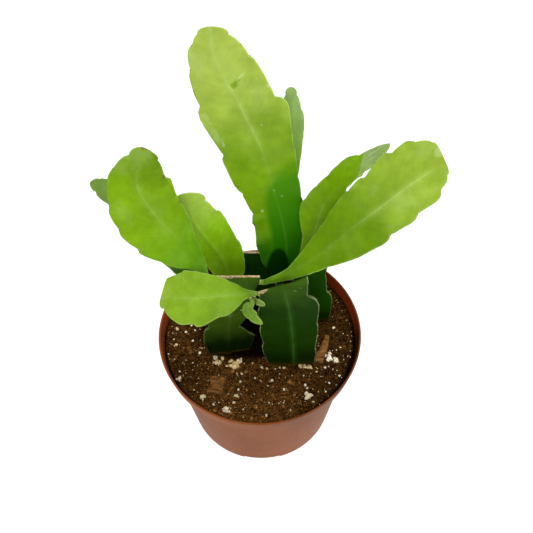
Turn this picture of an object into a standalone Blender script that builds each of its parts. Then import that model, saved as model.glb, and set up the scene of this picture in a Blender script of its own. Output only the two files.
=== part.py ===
"""A queen of the night cactus in a round nursery pot.

Four old cuttings stand in the soil, cut off flat at the top. Leaf-like shoots with crenate edges
grow from their margins. The scene is in metres, +Z up, with its origin at the middle of the pot's
base and the plant's front towards -Y. The dimensions and tables below are in millimetres, and
every mesh is scaled by MM as it is made.
"""

import math
import random

import bmesh
import bpy
from mathutils import Matrix, Vector

MM = 0.001
GAP = 0.3
LEFT, RIGHT = -1, 1
SMOOTH_ANGLE = 40

# The pot: a standard 12 cm nursery pot, turned in SIDES flats
SIDES = 48
POT_HEIGHT = 85.0
RIM_RADIUS = 60.0
LIP = 1.1
LIP_BEVEL = 0.3
WALL = 1.1
BAND_HEIGHT = 10.3
BAND_LOW_RADIUS = 58.6
BODY_TOP_RADIUS = 54.7
BASE_RADIUS = 47.3
FLOOR = 1.5
FLOOR_RISE = 2.0
FLOOR_DISC_RADIUS = 33.0
FLOOR_STEP_INSET = 1.4
FOOT_WALL = 1.0
FOOT_GAPS = 5
FOOT_GAP_WIDTH = 23.0
FOOT_GAP_DEPTH = 6.0
DRAIN_SIDES = 12
DRAIN_RADIUS = 3.5
DRAIN_RING_RADIUS = 40.5
DRAIN_CUT_LENGTH = 8.0

# The soil
SOIL_RADIUS = BAND_LOW_RADIUS - WALL - GAP
SOIL_LEVEL = 74.6
SOIL_EDGE_RISE = 2.7
SOIL_BUMP = 0.5
SOIL_BUMP_LENGTH = 3.4
SOIL_RIPPLE_LENGTH = 1.7
SOIL_RIPPLE_SHARE = 0.6
SOIL_RINGS = (9, 18, 27, 35, 42, 48, 53)
CRUMB_SEED = 12
CRUMB_COUNT = 26
CRUMB_SIZES = (1.7, 2.8)
CRUMB_SPREAD = 52.0
CRUMB_SPACING = 1.2
CRUMB_KEEP_OUT = 2.4
CRUMB_RAISE = 0.12
CRUMB_STRETCH = ((0.85, 1.25), (0.75, 1.0), (0.7, 0.95))
CRUMB_DENTS = (0.88, 1.08)

# The larger crumbs of perlite on the soil: x, y, size
LARGE_CRUMBS = [
    (-26.4, -13.6, 3.4), (-26.8, -17.4, 4.0), (-15.0, -20.4, 5.4), (-17.2, -15.6, 3.0),
    (-11.6, -16.0, 3.0), (-40.0, -3.0, 2.4), (-46.9, -28.4, 2.8), (-33.2, -39.4, 3.4),
    (-13.4, -38.2, 3.2), (-19.2, -47.0, 3.8), (27.6, -39.0, 4.2), (43.0, -16.0, 6.4),
    (41.5, -20.5, 3.0), (24.0, -21.4, 3.4), (28.6, -22.2, 3.4), (10.0, -23.6, 3.0),
]

# Chips of bark lying on the soil: x, y, length, width, turn in degrees
BARK_CHIPS = [(-25.6, -31.5, 10.5, 9.0, 82), (38.6, -9.0, 15.0, 4.6, 68)]
CHIP_THICKNESS = 1.6
CHIP_SINK = 0.3
CHIP_BEVEL = 0.5

# How a blade is built: its columns across, its rows in each lobe, its neck, its lobes and its tip
COLUMNS = (-1.0, -0.18, 0.0, 0.18, 1.0)
CUTTING_ROWS = 3
SHOOT_ROWS = 4
ROW_CROWDING = 0.7
DIRECTION_REACH = 1.5
NECK_THICKNESS = 1.8
NECK_LENGTH = 12.0
NECK_STEPS = 3
NECK_STEP = 1.2
NECK_FLARE = 1.6
SEAT_GAP = 0.5
LOBE_FULLNESS = 0.6
TIP_FADE = 14.0
TIP_ROWS = 6
TIP_ROUNDNESS = 2.2

# A cutting thins out over CUT_FADE towards its cut end
CUT_FADE = 8.0

# The foot of a cutting: how deep it stands, how it tapers, and how high its hole's own rows go
STUB_DEPTH = 28.0
STUB_TAPER = 0.35
SLOT_TOP = 8.0

# Thickness in the middle, beside the rib, and at the margin
CUTTING_THICKNESS = (3.6, 2.6, 1.6)
SHOOT_THICKNESS = (2.8, 1.7, 1.0)
SMALL_THICKNESS = (1.4, 1.1, 0.8)

# Cuttings. A route is the middle line from the soil up, face is the way the front looks, and each
# side lists its notches: distance along, half width there, and how far the lobe below it bulges.
CUTTINGS = {
    "cutting_front": dict(
        route=[(20, -17.3, 75), (18.7, -17, 101), (16, -16.5, 133), (12.5, -16, 153),
               (11, -16, 158)],
        face=[(0, -1, 0)],
        left=[(0, 15, 0), (24, 16.7, 1.6), (42, 17, 0.8), (60, 16, 0.8), (76, 12.5, 0)],
        right=[(0, 12, 0), (17, 12.5, 0.7), (43, 14.1, 0.8), (68, 10.6, 4), (82, 13.6, 0)],
    ),
    "cutting_left": dict(
        route=[(-19.5, -9, 74), (-17.5, -9, 100), (-14, -8.3, 130), (-10.5, -7.5, 151)],
        face=[(0.16, -0.987, 0)],
        left=[(0, 10.5, 0), (17, 14.3, 0.4), (30, 11.2, 2), (40, 13.5, 0.5), (58, 12, 3),
              (77.5, 11, 1)],
        right=[(0, 13, 0), (17, 15.7, 0.2), (29.5, 5.4, 0), (44, 9, 2), (60, 10, 2),
               (76, 12, 1)],
    ),
    "cutting_back": dict(
        route=[(-5, 20, 73), (-4.5, 20, 105), (-4, 20, 133.7)],
        face=[(0, -1, 0)],
        left=[(0, 10, 0), (24, 9, 3), (46, 9, 2.5), (60.5, 9, 2)],
        right=[(0, 11, 0), (20, 12, 2), (42, 11.5, 2.5), (60.5, 10, 2)],
    ),
    "cutting_right": dict(
        route=[(31, 13, 75), (27, 13, 107), (25, 13.5, 134)],
        face=[(0, -1, 0)],
        left=[(0, 11, 0), (20, 10, 2), (38, 7, 2), (52, 3.5, 1.5)],
        right=[(0, 12, 0), (29, 12.2, 2.7), (46, 11.6, 0.5), (57, 12, 1)],
    ),
}

# Shoots. seat is the parent, its side, and how far along that margin the shoot sprouts. The route
# goes on from there. fold is how far the halves lift towards the face, at the neck and at the tip.
SHOOTS = {
    "shoot_tall": dict(
        seat=("cutting_back", RIGHT, 33),
        route=[(13.5, 17.2, 114), (15.2, 16.4, 131), (15, 17, 148), (12, 19.3, 166.7),
               (7.5, 22, 186), (2.5, 26, 207), (-3, 29, 220), (-8, 32, 231), (-13.5, 35, 241),
               (-17.5, 38, 251), (-18, 40.8, 262)],
        face=[(0, -0.93, 0.36)],
        left=[(0, 1, 0), (26, 12.5, 0), (46, 16.2, 0.3), (64.5, 15.5, -0.9), (71, 13.7, 0),
              (85, 15.3, 0.4), (90, 18, 0), (111, 18.1, 1.4), (140, 16.3, 2.6),
              (154, 12.2, 0.9), (161.3, 8.8, 1), (165.5, 6, 0.3)],
        right=[(0, 1, 0), (26, 8, 0), (46, 9.5, 0.4), (60, 10.6, 0.4), (74.5, 12.7, 0.5),
               (87.5, 13.6, 0.3), (96, 14.6, 0), (104, 15, 0.4), (128.5, 16.5, 4),
               (149.8, 14.9, 0.8), (161, 12.7, 0.2), (165.3, 8, 1.2)],
        fold=(0.12, 0.06),
    ),
    "shoot_tall_behind": dict(
        seat=("cutting_back", RIGHT, 16),
        route=[(12, 25, 112), (13.5, 30, 149), (16, 37, 188), (17, 42, 209), (16.7, 45.8, 224.4)],
        face=[(0.2, -0.9, 0.4)],
        left=[(0, 1, 0), (34, 6, 0), (64, 9, 1.5), (94, 9, 1.5), (132, 4.8, 1.5),
              (141, 3.2, 0.5)],
        right=[(0, 1, 0), (34, 5, 0), (64, 6, 1), (95, 5.8, 1.2), (133.5, 4.9, 1.5),
               (140.5, 3.2, 0.5)],
        fold=(0.2, 0.1),
    ),
    "shoot_right_long": dict(
        seat=("cutting_left", RIGHT, 71),
        route=[(7.5, -7.2, 146.4), (13.5, -8, 151), (21, -9, 159.1), (32, -9.3, 172.5),
               (43, -8.5, 186.4), (56, -5, 198), (69, 1, 206), (80.5, 7, 210.7),
               (85.8, 9.2, 211.7)],
        face=[(-0.3, -0.6, 0.75)],
        left=[(0, 1.3, 0), (22, 2.8, 0), (55, 10.8, 0.3), (74, 15.3, 0.6), (84.3, 15.6, 1),
              (100, 17.2, 1.9), (110.5, 15.8, 1.6), (115.3, 11.6, 0.5)],
        right=[(0, 1.3, 0), (22, 3.7, 0), (44, 8, 0), (62, 13.1, 0.2), (78.5, 13.2, 1.3),
               (93, 12.9, 1.1), (108, 10, 2), (115.6, 5.5, 1.2)],
        fold=(0.1, 0.08),
    ),
    "shoot_right_upper": dict(
        seat=("cutting_right", LEFT, 44.5),
        route=[(19.3, 11.5, 128), (24, 10.4, 141), (28, 11, 159), (32, 12, 179),
               (38.5, 16, 189.5), (46.5, 22, 195), (56, 30, 196), (66, 38, 197)],
        face=[(0.1, -0.9, 0.4), (0.1, -0.9, 0.4), (-0.1, -0.4, 0.8), (-0.3, 0.1, 0.95)],
        left=[(0, 1, 0), (45, 5, 0), (67, 9.8, 1.6), (74, 8.3, 0.2), (81, 7.2, 0.2),
              (87.2, 7.4, 0.3), (96.7, 6.6, 0.6), (100, 4.8, 0), (108, 3.9, 0.4)],
        right=[(0, 1, 0), (45, 5, 0), (61, 9, 2), (71, 7.5, 1), (82, 4.4, 0.8), (87, 4.5, 0),
               (93.3, 4.7, 0.5), (101, 4.8, 0.3), (109, 3.2, 0.3)],
        fold=(0.2, 0.05),
        tip=1.4,
    ),
    "shoot_left_large": dict(
        seat=("cutting_left", LEFT, 74.5),
        route=[(-29.5, -6, 164), (-38.5, -2.5, 174), (-46.5, 0, 186.5), (-51.5, 2.5, 196),
               (-54.5, 6, 204), (-53, 9.2, 212), (-48.5, 13.5, 219)],
        face=[(0.3, -0.7, 0.65)],
        left=[(0, 1, 0), (19, 9, 0), (30, 13.4, 0.5), (43, 17, 1.2), (54.5, 17.7, 1),
              (63.5, 15.5, 0.9), (73.5, 11, 0.5), (79, 6, 0.5)],
        right=[(0, 1, 0), (18, 3, 0), (33, 10.5, 0), (46.5, 12.7, 1), (52.5, 14.2, 0.2),
               (64.5, 14.3, 1.4), (71.5, 14.2, 1.4), (82.8, 7.2, 1.6)],
        fold=(0.2, 0.08),
    ),
    "shoot_left_behind": dict(
        seat=("cutting_left", LEFT, 64),
        route=[(-37.3, -2.2, 157), (-51.2, 6.7, 172), (-65, 14.7, 184), (-82, 23.7, 187)],
        face=[(0.3, -0.7, 0.65)],
        left=[(0, 1, 0), (23, 8, 0), (40, 8, 1.5), (57, 7, 1.5), (73, 6.2, 1.5),
              (83.7, 4.3, 0.5)],
        right=[(0, 1, 0), (23, 5, 0), (40, 5.5, 1), (57, 6.5, 1), (74, 6.5, 1.5),
               (83.5, 4, 0.4)],
        fold=(0.1, 0.1),
        tip=1.6,
    ),
    "shoot_left_inner": dict(
        seat=("cutting_back", LEFT, 28),
        route=[(-18.9, 15.3, 108), (-17.5, 13.2, 122), (-20.4, 12.6, 140), (-26.7, 12.2, 156),
               (-31.8, 13.3, 167.3), (-33.8, 15.3, 177.3), (-33, 17.6, 185.4)],
        face=[(0.3, -0.8, 0.5)],
        left=[(0, 1, 0), (30, 7, 0), (54, 9, 1), (74, 10, 1), (90, 6.5, 1)],
        right=[(0, 1, 0), (26, 10, 0), (49, 12.9, 0.6), (75, 13.5, 1.3), (88.5, 9.2, 0.6)],
        fold=(0.1, 0.08),
    ),
    "shoot_low_left": dict(
        seat=("cutting_front", LEFT, 74.5),
        route=[(-8, -20.3, 152.2), (-16, -23.8, 155.7), (-28, -25.8, 157.2), (-38, -25.8, 157.2),
               (-46.8, -23.7, 157.4)],
        face=[(0, -0.35, 0.94)],
        left=[(0, 1, 0), (12.5, 3.3, 0), (21.5, 9.8, 0), (25, 10.2, 0.2), (37, 13, 1.9),
              (43, 12.7, 0.3), (49.5, 6.6, 0.3)],
        right=[(0, 1, 0), (10.5, 3.2, 0), (22, 9.5, 0.3), (32, 12.8, 0.2), (43, 14.3, 0.3),
               (45, 13.2, 0), (51.5, 9.6, 0.3)],
        fold=(0.2, 0.08),
        tip=3,
    ),
    "sprout_tiny": dict(
        seat=("shoot_low_left", LEFT, 3.4),
        route=[(-0.2, -21.6, 147.4), (3.4, -22.2, 145.2)],
        face=[(0, -0.5, 0.9), (0, -0.9, 0.3)],
        left=[(0, 0.7, 0), (5, 1.6, 0.2)],
        right=[(0, 0.7, 0), (5, 1.6, 0.2)],
        fold=(0.1, 0.1),
        thickness=SMALL_THICKNESS,
    ),
    "shoot_small_hanging": dict(
        seat=("shoot_low_left", LEFT, 7.2),
        route=[(-5.6, -22.6, 143.5), (-4.4, -22.9, 139.5), (-2, -23, 134), (2, -23.2, 129)],
        face=[(0, -0.5, 0.9), (0, -0.9, 0.3), (0, -0.9, 0.3)],
        left=[(0, 0.8, 0), (7, 2.9, 0), (16, 2.6, 0.5)],
        right=[(0, 0.8, 0), (7, 2.9, 0), (16, 2.6, 0.5)],
        fold=(0.2, 0.2),
        tip=1.6,
        thickness=SMALL_THICKNESS,
    ),
}

# Surfaces: base colour, roughness
COLOURS = {
    "pot": ((0.30, 0.115, 0.06), 0.5),
    "soil": ((0.06, 0.032, 0.016), 0.95),
    "cutting": ((0.02, 0.075, 0.015), 0.45),
    "shoot": ((0.22, 0.40, 0.045), 0.4),
    "blue_shoot": ((0.13, 0.24, 0.11), 0.35),
}
BLUE_SHOOTS = ("shoot_tall_behind", "shoot_left_behind")


def clear_scene():
    for obj in list(bpy.data.objects):
        bpy.data.objects.remove(obj, do_unlink=True)


def material(name):
    """The Principled material of this name, made once."""
    found = bpy.data.materials.get(name)
    if found:
        return found
    colour, roughness = COLOURS[name]
    made = bpy.data.materials.new(name)
    made.use_nodes = True
    shader = made.node_tree.nodes["Principled BSDF"]
    shader.inputs["Base Color"].default_value = (*colour, 1)
    shader.inputs["Roughness"].default_value = roughness
    made.diffuse_color = (*colour, 1)
    return made


def add_object(name, mesh, surface):
    """Scales the bmesh to metres, closes and orients it, and links it as an object."""
    bmesh.ops.scale(mesh, vec=(MM, MM, MM), verts=mesh.verts)
    bmesh.ops.recalc_face_normals(mesh, faces=mesh.faces)
    data = bpy.data.meshes.new(name)
    mesh.to_mesh(data)
    mesh.free()
    data.shade_smooth()
    data.set_sharp_from_angle(angle=math.radians(SMOOTH_ANGLE))
    obj = bpy.data.objects.new(name, data)
    bpy.context.scene.collection.objects.link(obj)
    data.materials.append(material(surface))
    return obj


def boolean(obj, helpers, operation):
    """Joins or cuts obj with a group of helper objects, applies it and removes the helpers."""
    group = bpy.data.collections.new(obj.name + "_helpers")
    bpy.context.scene.collection.children.link(group)
    for helper in helpers:
        bpy.context.scene.collection.objects.unlink(helper)
        group.objects.link(helper)
    modifier = obj.modifiers.new(operation.lower(), "BOOLEAN")
    modifier.operation = operation
    modifier.operand_type = "COLLECTION"
    modifier.collection = group
    modifier.solver = "EXACT"
    bpy.context.view_layer.objects.active = obj
    bpy.ops.object.modifier_apply(modifier=modifier.name)
    for helper in list(group.objects):
        bpy.data.objects.remove(helper, do_unlink=True)
    bpy.data.collections.remove(group)


def turned(profile):
    """A closed outline of (radius, height) turned round the Z axis."""
    mesh = bmesh.new()
    ring = [mesh.verts.new((radius, 0, height)) for radius, height in profile]
    edges = [mesh.edges.new((ring[i], ring[(i + 1) % len(ring)])) for i in range(len(ring))]
    along_the_axis = edges.pop()
    mesh.edges.remove(along_the_axis)
    bmesh.ops.spin(
        mesh, geom=mesh.verts[:] + mesh.edges[:], axis=(0, 0, 1), cent=(0, 0, 0),
        angle=math.tau, steps=SIDES, use_merge=True,
    )
    bmesh.ops.remove_doubles(mesh, verts=mesh.verts, dist=1e-4)
    return mesh


def inner_wall():
    """The pot's inside from its floor up to the step under the rim band: (radius, height)."""
    disc = FLOOR_DISC_RADIUS - FLOOR_STEP_INSET
    step = POT_HEIGHT - BAND_HEIGHT + WALL
    return [
        (disc, FLOOR),
        (disc + FLOOR_RISE, FLOOR + FLOOR_RISE),
        (BASE_RADIUS - WALL, FLOOR + FLOOR_RISE),
        (BODY_TOP_RADIUS - WALL, step),
        (BAND_LOW_RADIUS - WALL, step),
    ]


def turn_about_z(angle):
    return Matrix.Rotation(angle, 3, "Z")


def box(name, size, centre, turn):
    mesh = bmesh.new()
    bmesh.ops.create_cube(mesh, size=1)
    bmesh.ops.scale(mesh, vec=size, verts=mesh.verts)
    bmesh.ops.translate(mesh, vec=centre, verts=mesh.verts)
    bmesh.ops.rotate(mesh, cent=(0, 0, 0), matrix=turn_about_z(turn), verts=mesh.verts)
    return add_object(name, mesh, "pot")


def make_foot_gap(name, turn):
    size = (FOOT_GAP_WIDTH, FOOT_GAP_DEPTH, 2 * FLOOR_RISE)
    return box(name, size, (0, -BASE_RADIUS, 0), turn)


def make_drain(name, turn):
    mesh = bmesh.new()
    bmesh.ops.create_cone(
        mesh, cap_ends=True, segments=DRAIN_SIDES, radius1=DRAIN_RADIUS, radius2=DRAIN_RADIUS,
        depth=DRAIN_CUT_LENGTH,
    )
    bmesh.ops.translate(mesh, vec=(0, -DRAIN_RING_RADIUS, FLOOR_RISE), verts=mesh.verts)
    bmesh.ops.rotate(mesh, cent=(0, 0, 0), matrix=turn_about_z(turn), verts=mesh.verts)
    return add_object(name, mesh, "pot")


def make_pot():
    """A thin turned shell that stands on its floor disc and on a foot ring with gaps."""
    outside = [
        (0, 0),
        (FLOOR_DISC_RADIUS, 0),
        (FLOOR_DISC_RADIUS + FLOOR_RISE, FLOOR_RISE),
        (BASE_RADIUS - FOOT_WALL, FLOOR_RISE),
        (BASE_RADIUS - FOOT_WALL, 0),
        (BASE_RADIUS, 0),
        (BODY_TOP_RADIUS, POT_HEIGHT - BAND_HEIGHT),
        (BAND_LOW_RADIUS, POT_HEIGHT - BAND_HEIGHT),
        (RIM_RADIUS, POT_HEIGHT - LIP_BEVEL),
        (RIM_RADIUS - LIP_BEVEL, POT_HEIGHT),
        (RIM_RADIUS - LIP + LIP_BEVEL, POT_HEIGHT),
        (RIM_RADIUS - LIP, POT_HEIGHT - LIP_BEVEL),
    ]
    inside = list(reversed(inner_wall()))
    pot = add_object("pot", turned(outside + inside + [(0, FLOOR)]), "pot")

    cutters = []
    for index in range(FOOT_GAPS):
        turn = math.tau * index / FOOT_GAPS
        cutters.append(make_foot_gap(f"foot_gap_{index}", turn))
        cutters.append(make_drain(f"drain_{index}", turn))
    boolean(pot, cutters, "DIFFERENCE")


def smooth_path(points, steps=12):
    """A Catmull-Rom curve through the points, running straight on at both ends."""
    knots = [Vector(point) for point in points]
    knots = [2 * knots[0] - knots[1]] + knots + [2 * knots[-1] - knots[-2]]
    path = []
    for index in range(1, len(knots) - 2):
        a, b, c, d = knots[index - 1:index + 3]
        for step in range(steps):
            t = step / steps
            path.append(
                0.5 * (2 * b + (c - a) * t + (2 * a - 5 * b + 4 * c - d) * t ** 2
                       + (3 * b - a - 3 * c + d) * t ** 3)
            )
    path.append(knots[-2])
    return path


def clamp(value):
    return min(max(value, 0.0), 1.0)


class Blade:
    """A flat stem: a middle line, the way its face looks, and the outline of both its sides."""

    def __init__(
        self, route, face, left, right, thickness, fold=(0, 0), cut=False, tip=TIP_ROUNDNESS
    ):
        self.path = smooth_path(route)
        self.along = [0.0]
        for before, after in zip(self.path, self.path[1:]):
            self.along.append(self.along[-1] + (after - before).length)
        self.length = self.along[-1]
        self.faces = [Vector(direction).normalized() for direction in face]
        self.notches = {LEFT: left, RIGHT: right}
        self.rib, self.web, self.edge = thickness
        self.fold = fold
        self.cut = cut
        self.tip = tip

    def middle(self, s):
        """The point of the middle line at distance s. Past its ends the line runs straight on."""
        if s <= 0:
            return self.path[0] + (self.path[1] - self.path[0]).normalized() * s
        if s >= self.length:
            return self.path[-1]
        index = next(i for i, along in enumerate(self.along) if along > s)
        part = (s - self.along[index - 1]) / (self.along[index] - self.along[index - 1])
        return self.path[index - 1].lerp(self.path[index], part)

    def frame(self, s):
        """The middle point at s, with the directions across the blade and out of its face."""
        ahead, behind = self.middle(s + DIRECTION_REACH), self.middle(s - DIRECTION_REACH)
        tangent = (ahead - behind).normalized()
        place = clamp(s / self.length) * (len(self.faces) - 1)
        index = min(int(place), max(len(self.faces) - 2, 0))
        following = min(index + 1, len(self.faces) - 1)
        face = self.faces[index].lerp(self.faces[following], place - index)
        side = tangent.cross(face).normalized()
        return self.middle(s), side, side.cross(tangent)

    def half_width(self, s, side):
        notches = self.notches[side]
        last_along, last_width = notches[-1][:2]
        if s < 0:
            return notches[0][1] * (1 + STUB_TAPER * s / STUB_DEPTH)
        if s >= last_along:
            if self.cut:
                return last_width
            part = clamp((s - last_along) / (self.length - last_along))
            return last_width * (1 - part ** self.tip) ** (1 / self.tip)
        for index in range(1, len(notches)):
            along, width, bulge = notches[index]
            if s <= along:
                break
        before, width_before = notches[index - 1][:2]
        part = (s - before) / (along - before)
        if index == 1 and not self.cut:
            return width_before + (width - width_before) * part ** NECK_FLARE
        lobe = max(math.sin(math.pi * part * part), 0.0) ** LOBE_FULLNESS
        return width_before + (width - width_before) * part + bulge * lobe

    def to_cut(self, t, s):
        """How far it is from s to the cut end, at this share of the way across."""
        ends = [self.notches[side][-1][0] for side in (LEFT, RIGHT)]
        middle_end = sum(ends) / 2
        return middle_end + (ends[0 if t < 0 else 1] - middle_end) * abs(t) - s

    def thickness(self, column, s):
        across = (self.edge, self.web, self.rib, self.web, self.edge)[column]
        if self.cut:
            thin = clamp(1 - self.to_cut(COLUMNS[column], s) / CUT_FADE)
            return across + (self.edge - across) * thin
        neck = clamp(1 - s / NECK_LENGTH)
        across += (min(NECK_THICKNESS, self.rib) - across) * neck
        tip = clamp(1 - (self.length - s) / TIP_FADE)
        return across + (self.edge - across) * tip

    def stations(self, rows):
        """Pairs of distances, for the left and the right margin, that each row joins."""
        left = [notch[0] for notch in self.notches[LEFT]]
        right = [notch[0] for notch in self.notches[RIGHT]]
        pairs = []
        for index in range(len(left) - 1):
            for row in range(rows):
                part = row / rows
                if index > 0 or self.cut:
                    part = part ** ROW_CROWDING
                pairs.append((
                    left[index] + (left[index + 1] - left[index]) * part,
                    right[index] + (right[index + 1] - right[index]) * part,
                ))
        if self.cut:
            return pairs + [(left[-1], right[-1])]
        for row in range(TIP_ROWS + 1):
            part = math.sin(math.pi / 2 * row / TIP_ROWS)
            pairs.append((
                left[-1] + (self.length - left[-1]) * part,
                right[-1] + (self.length - right[-1]) * part,
            ))
        return pairs

    def point(self, pair, column, grow):
        """The middle of the blade's thickness at this column of a row, its normal and thickness."""
        t = COLUMNS[column]
        side = LEFT if t < 0 else RIGHT
        halfway = (pair[0] + pair[1]) / 2
        s = halfway + (pair[0 if t < 0 else 1] - halfway) * abs(t)
        centre, across, normal = self.frame(s)
        width = self.half_width(s, side) + grow
        part = clamp(s / self.length)
        fold = self.fold[0] + (self.fold[1] - self.fold[0]) * part
        lift = abs(t) * width * fold * clamp(s / NECK_LENGTH)
        place = centre + across * (t * width) + normal * lift
        return place, normal, self.thickness(column, s) + 2 * grow

    def margin(self, side, s):
        """The point of the margin at s, and the direction square out of it."""
        column = 0 if side == LEFT else len(COLUMNS) - 1
        nearby = (s - DIRECTION_REACH, s, s + DIRECTION_REACH)
        before, place, after = (self.point((at, at), column, 0)[0] for at in nearby)
        outward = (after - before).cross(self.frame(s)[2]).normalized()
        return place, outward * (-1 if outward.dot(self.frame(s)[1] * side) < 0 else 1)

    def solid(self, pairs, grow=0.0):
        """A closed bmesh over these rows, split into triangles alike on both faces."""
        mesh = bmesh.new()
        fronts, backs = [], []
        for pair in pairs:
            front, back = [], []
            for column in range(len(COLUMNS)):
                place, normal, thickness = self.point(pair, column, grow)
                front.append(mesh.verts.new(place + normal * thickness / 2))
                back.append(mesh.verts.new(place - normal * thickness / 2))
            fronts.append(front)
            backs.append(back)
        last = len(COLUMNS) - 1
        for row in range(len(pairs) - 1):
            for column in range(last):
                for sheet in (fronts, backs):
                    a, b = sheet[row][column], sheet[row][column + 1]
                    c, d = sheet[row + 1][column + 1], sheet[row + 1][column]
                    mesh.faces.new((a, b, c))
                    mesh.faces.new((a, c, d))
            for column in (0, last):
                a, b = fronts[row][column], fronts[row + 1][column]
                c, d = backs[row + 1][column], backs[row][column]
                mesh.faces.new((a, b, c, d))
        for row in (0, len(pairs) - 1):
            for column in range(last):
                a, b = fronts[row][column], fronts[row][column + 1]
                c, d = backs[row][column + 1], backs[row][column]
                mesh.faces.new((a, b, c, d))
        bmesh.ops.remove_doubles(mesh, verts=mesh.verts, dist=1e-3)
        return mesh


def cutting_blade(shape):
    outline = (shape["route"], shape["face"], shape["left"], shape["right"])
    return Blade(*outline, CUTTING_THICKNESS, cut=True)


def foot_stations(depth):
    """The rows from a cutting's lower end to just above the soil, which its hole shares."""
    return [(s, s) for s in (-depth, -depth / 2, 0, SLOT_TOP / 2, SLOT_TOP)]


def make_cutting(name, blade):
    """The cutting, with a plain tapered stub that stands in the soil."""
    above = [pair for pair in blade.stations(CUTTING_ROWS) if min(pair) > SLOT_TOP]
    return add_object(name, blade.solid(foot_stations(STUB_DEPTH) + above), "cutting")


def make_slot(name, blade):
    """The cutting's foot grown by the gap, to cut its hole in the soil."""
    return add_object(name, blade.solid(foot_stations(STUB_DEPTH + GAP), GAP), "soil")


def shoot_blade(shape, blades):
    """The shoot leaves its parent's margin square, on a short straight neck a gap away from it."""
    parent, side, along = shape["seat"]
    seat, outward = blades[parent].margin(side, along)
    neck = [seat + outward * (SEAT_GAP + NECK_STEP * step) for step in range(NECK_STEPS)]
    outline = (neck + shape["route"], shape["face"], shape["left"], shape["right"])
    thickness = shape.get("thickness", SHOOT_THICKNESS)
    tip = shape.get("tip", TIP_ROUNDNESS)
    return Blade(*outline, thickness, shape["fold"], tip=tip)


def make_shoot(name, blade):
    surface = "blue_shoot" if name in BLUE_SHOOTS else "shoot"
    return add_object(name, blade.solid(blade.stations(SHOOT_ROWS)), surface)


def soil_height(x, y):
    """The soil is lowest in the middle, bumpy, and banked up evenly all round its edge."""
    radius = math.hypot(x, y) / SOIL_RADIUS
    bumps = math.cos(x / SOIL_BUMP_LENGTH) * math.cos(y / SOIL_BUMP_LENGTH)
    bumps += SOIL_RIPPLE_SHARE * math.sin((x - y) / SOIL_RIPPLE_LENGTH)
    return SOIL_LEVEL + SOIL_EDGE_RISE * radius ** 4 + SOIL_BUMP * bumps * (1 - radius ** 6)


def top_of(soil, x, y):
    """The height of the soil's own flats at this place."""
    _, place, _, _ = soil.ray_cast(Vector((x, y, POT_HEIGHT)) * MM, Vector((0, 0, -1)))
    return place.z / MM


def make_crumb(name, place, size, rng):
    """A crumb of perlite: a dented little ball, sunk by about a third."""
    mesh = bmesh.new()
    bmesh.ops.create_icosphere(mesh, subdivisions=1, radius=size / 2)
    stretch = [rng.uniform(*limits) for limits in CRUMB_STRETCH]
    turn = turn_about_z(rng.uniform(0, math.tau))
    bmesh.ops.scale(mesh, vec=stretch, verts=mesh.verts)
    bmesh.ops.rotate(mesh, cent=(0, 0, 0), matrix=turn, verts=mesh.verts)
    for vertex in mesh.verts:
        vertex.co *= rng.uniform(*CRUMB_DENTS)
    bmesh.ops.translate(mesh, vec=place + Vector((0, 0, size * CRUMB_RAISE)), verts=mesh.verts)
    return add_object(name, mesh, "soil")


def make_chip(name, place, length, width, turn):
    """A flat chip of bark with bevelled edges, half sunk in the soil."""
    mesh = bmesh.new()
    bmesh.ops.create_cube(mesh, size=1)
    bmesh.ops.scale(mesh, vec=(length, width, 2 * CHIP_THICKNESS), verts=mesh.verts)
    bmesh.ops.bevel(mesh, geom=mesh.edges[:], offset=CHIP_BEVEL, segments=1, affect="EDGES")
    matrix = turn_about_z(math.radians(turn))
    bmesh.ops.rotate(mesh, cent=(0, 0, 0), matrix=matrix, verts=mesh.verts)
    bmesh.ops.translate(mesh, vec=place - Vector((0, 0, CHIP_SINK)), verts=mesh.verts)
    return add_object(name, mesh, "soil")


def clear_of_blades(x, y, feet):
    """Whether a place on the soil is clear of the feet of the cuttings."""
    place = Vector((x, y))
    for left, right in feet:
        span = right - left
        part = clamp((place - left).dot(span) / span.length_squared)
        if (place - left - span * part).length < CRUMB_KEEP_OUT + CUTTING_THICKNESS[0] / 2:
            return False
    return True


def crumb_places(feet, rng):
    """The large crumbs, then smaller ones strewn at random where there is room."""
    places = list(LARGE_CRUMBS)
    while len(places) < len(LARGE_CRUMBS) + CRUMB_COUNT:
        radius = CRUMB_SPREAD * math.sqrt(rng.random())
        angle = rng.uniform(0, math.tau)
        x, y = radius * math.cos(angle), radius * math.sin(angle)
        size = rng.uniform(*CRUMB_SIZES)
        apart = all(
            math.hypot(x - other_x, y - other_y) > (size + other_size) / 2 + CRUMB_SPACING
            for other_x, other_y, other_size in places
        )
        off_chips = all(
            math.hypot(x - chip_x, y - chip_y) > length / 2 + size
            for chip_x, chip_y, length, _, _ in BARK_CHIPS
        )
        if apart and off_chips and clear_of_blades(x, y, feet):
            places.append((x, y, size))
    return places


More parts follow.
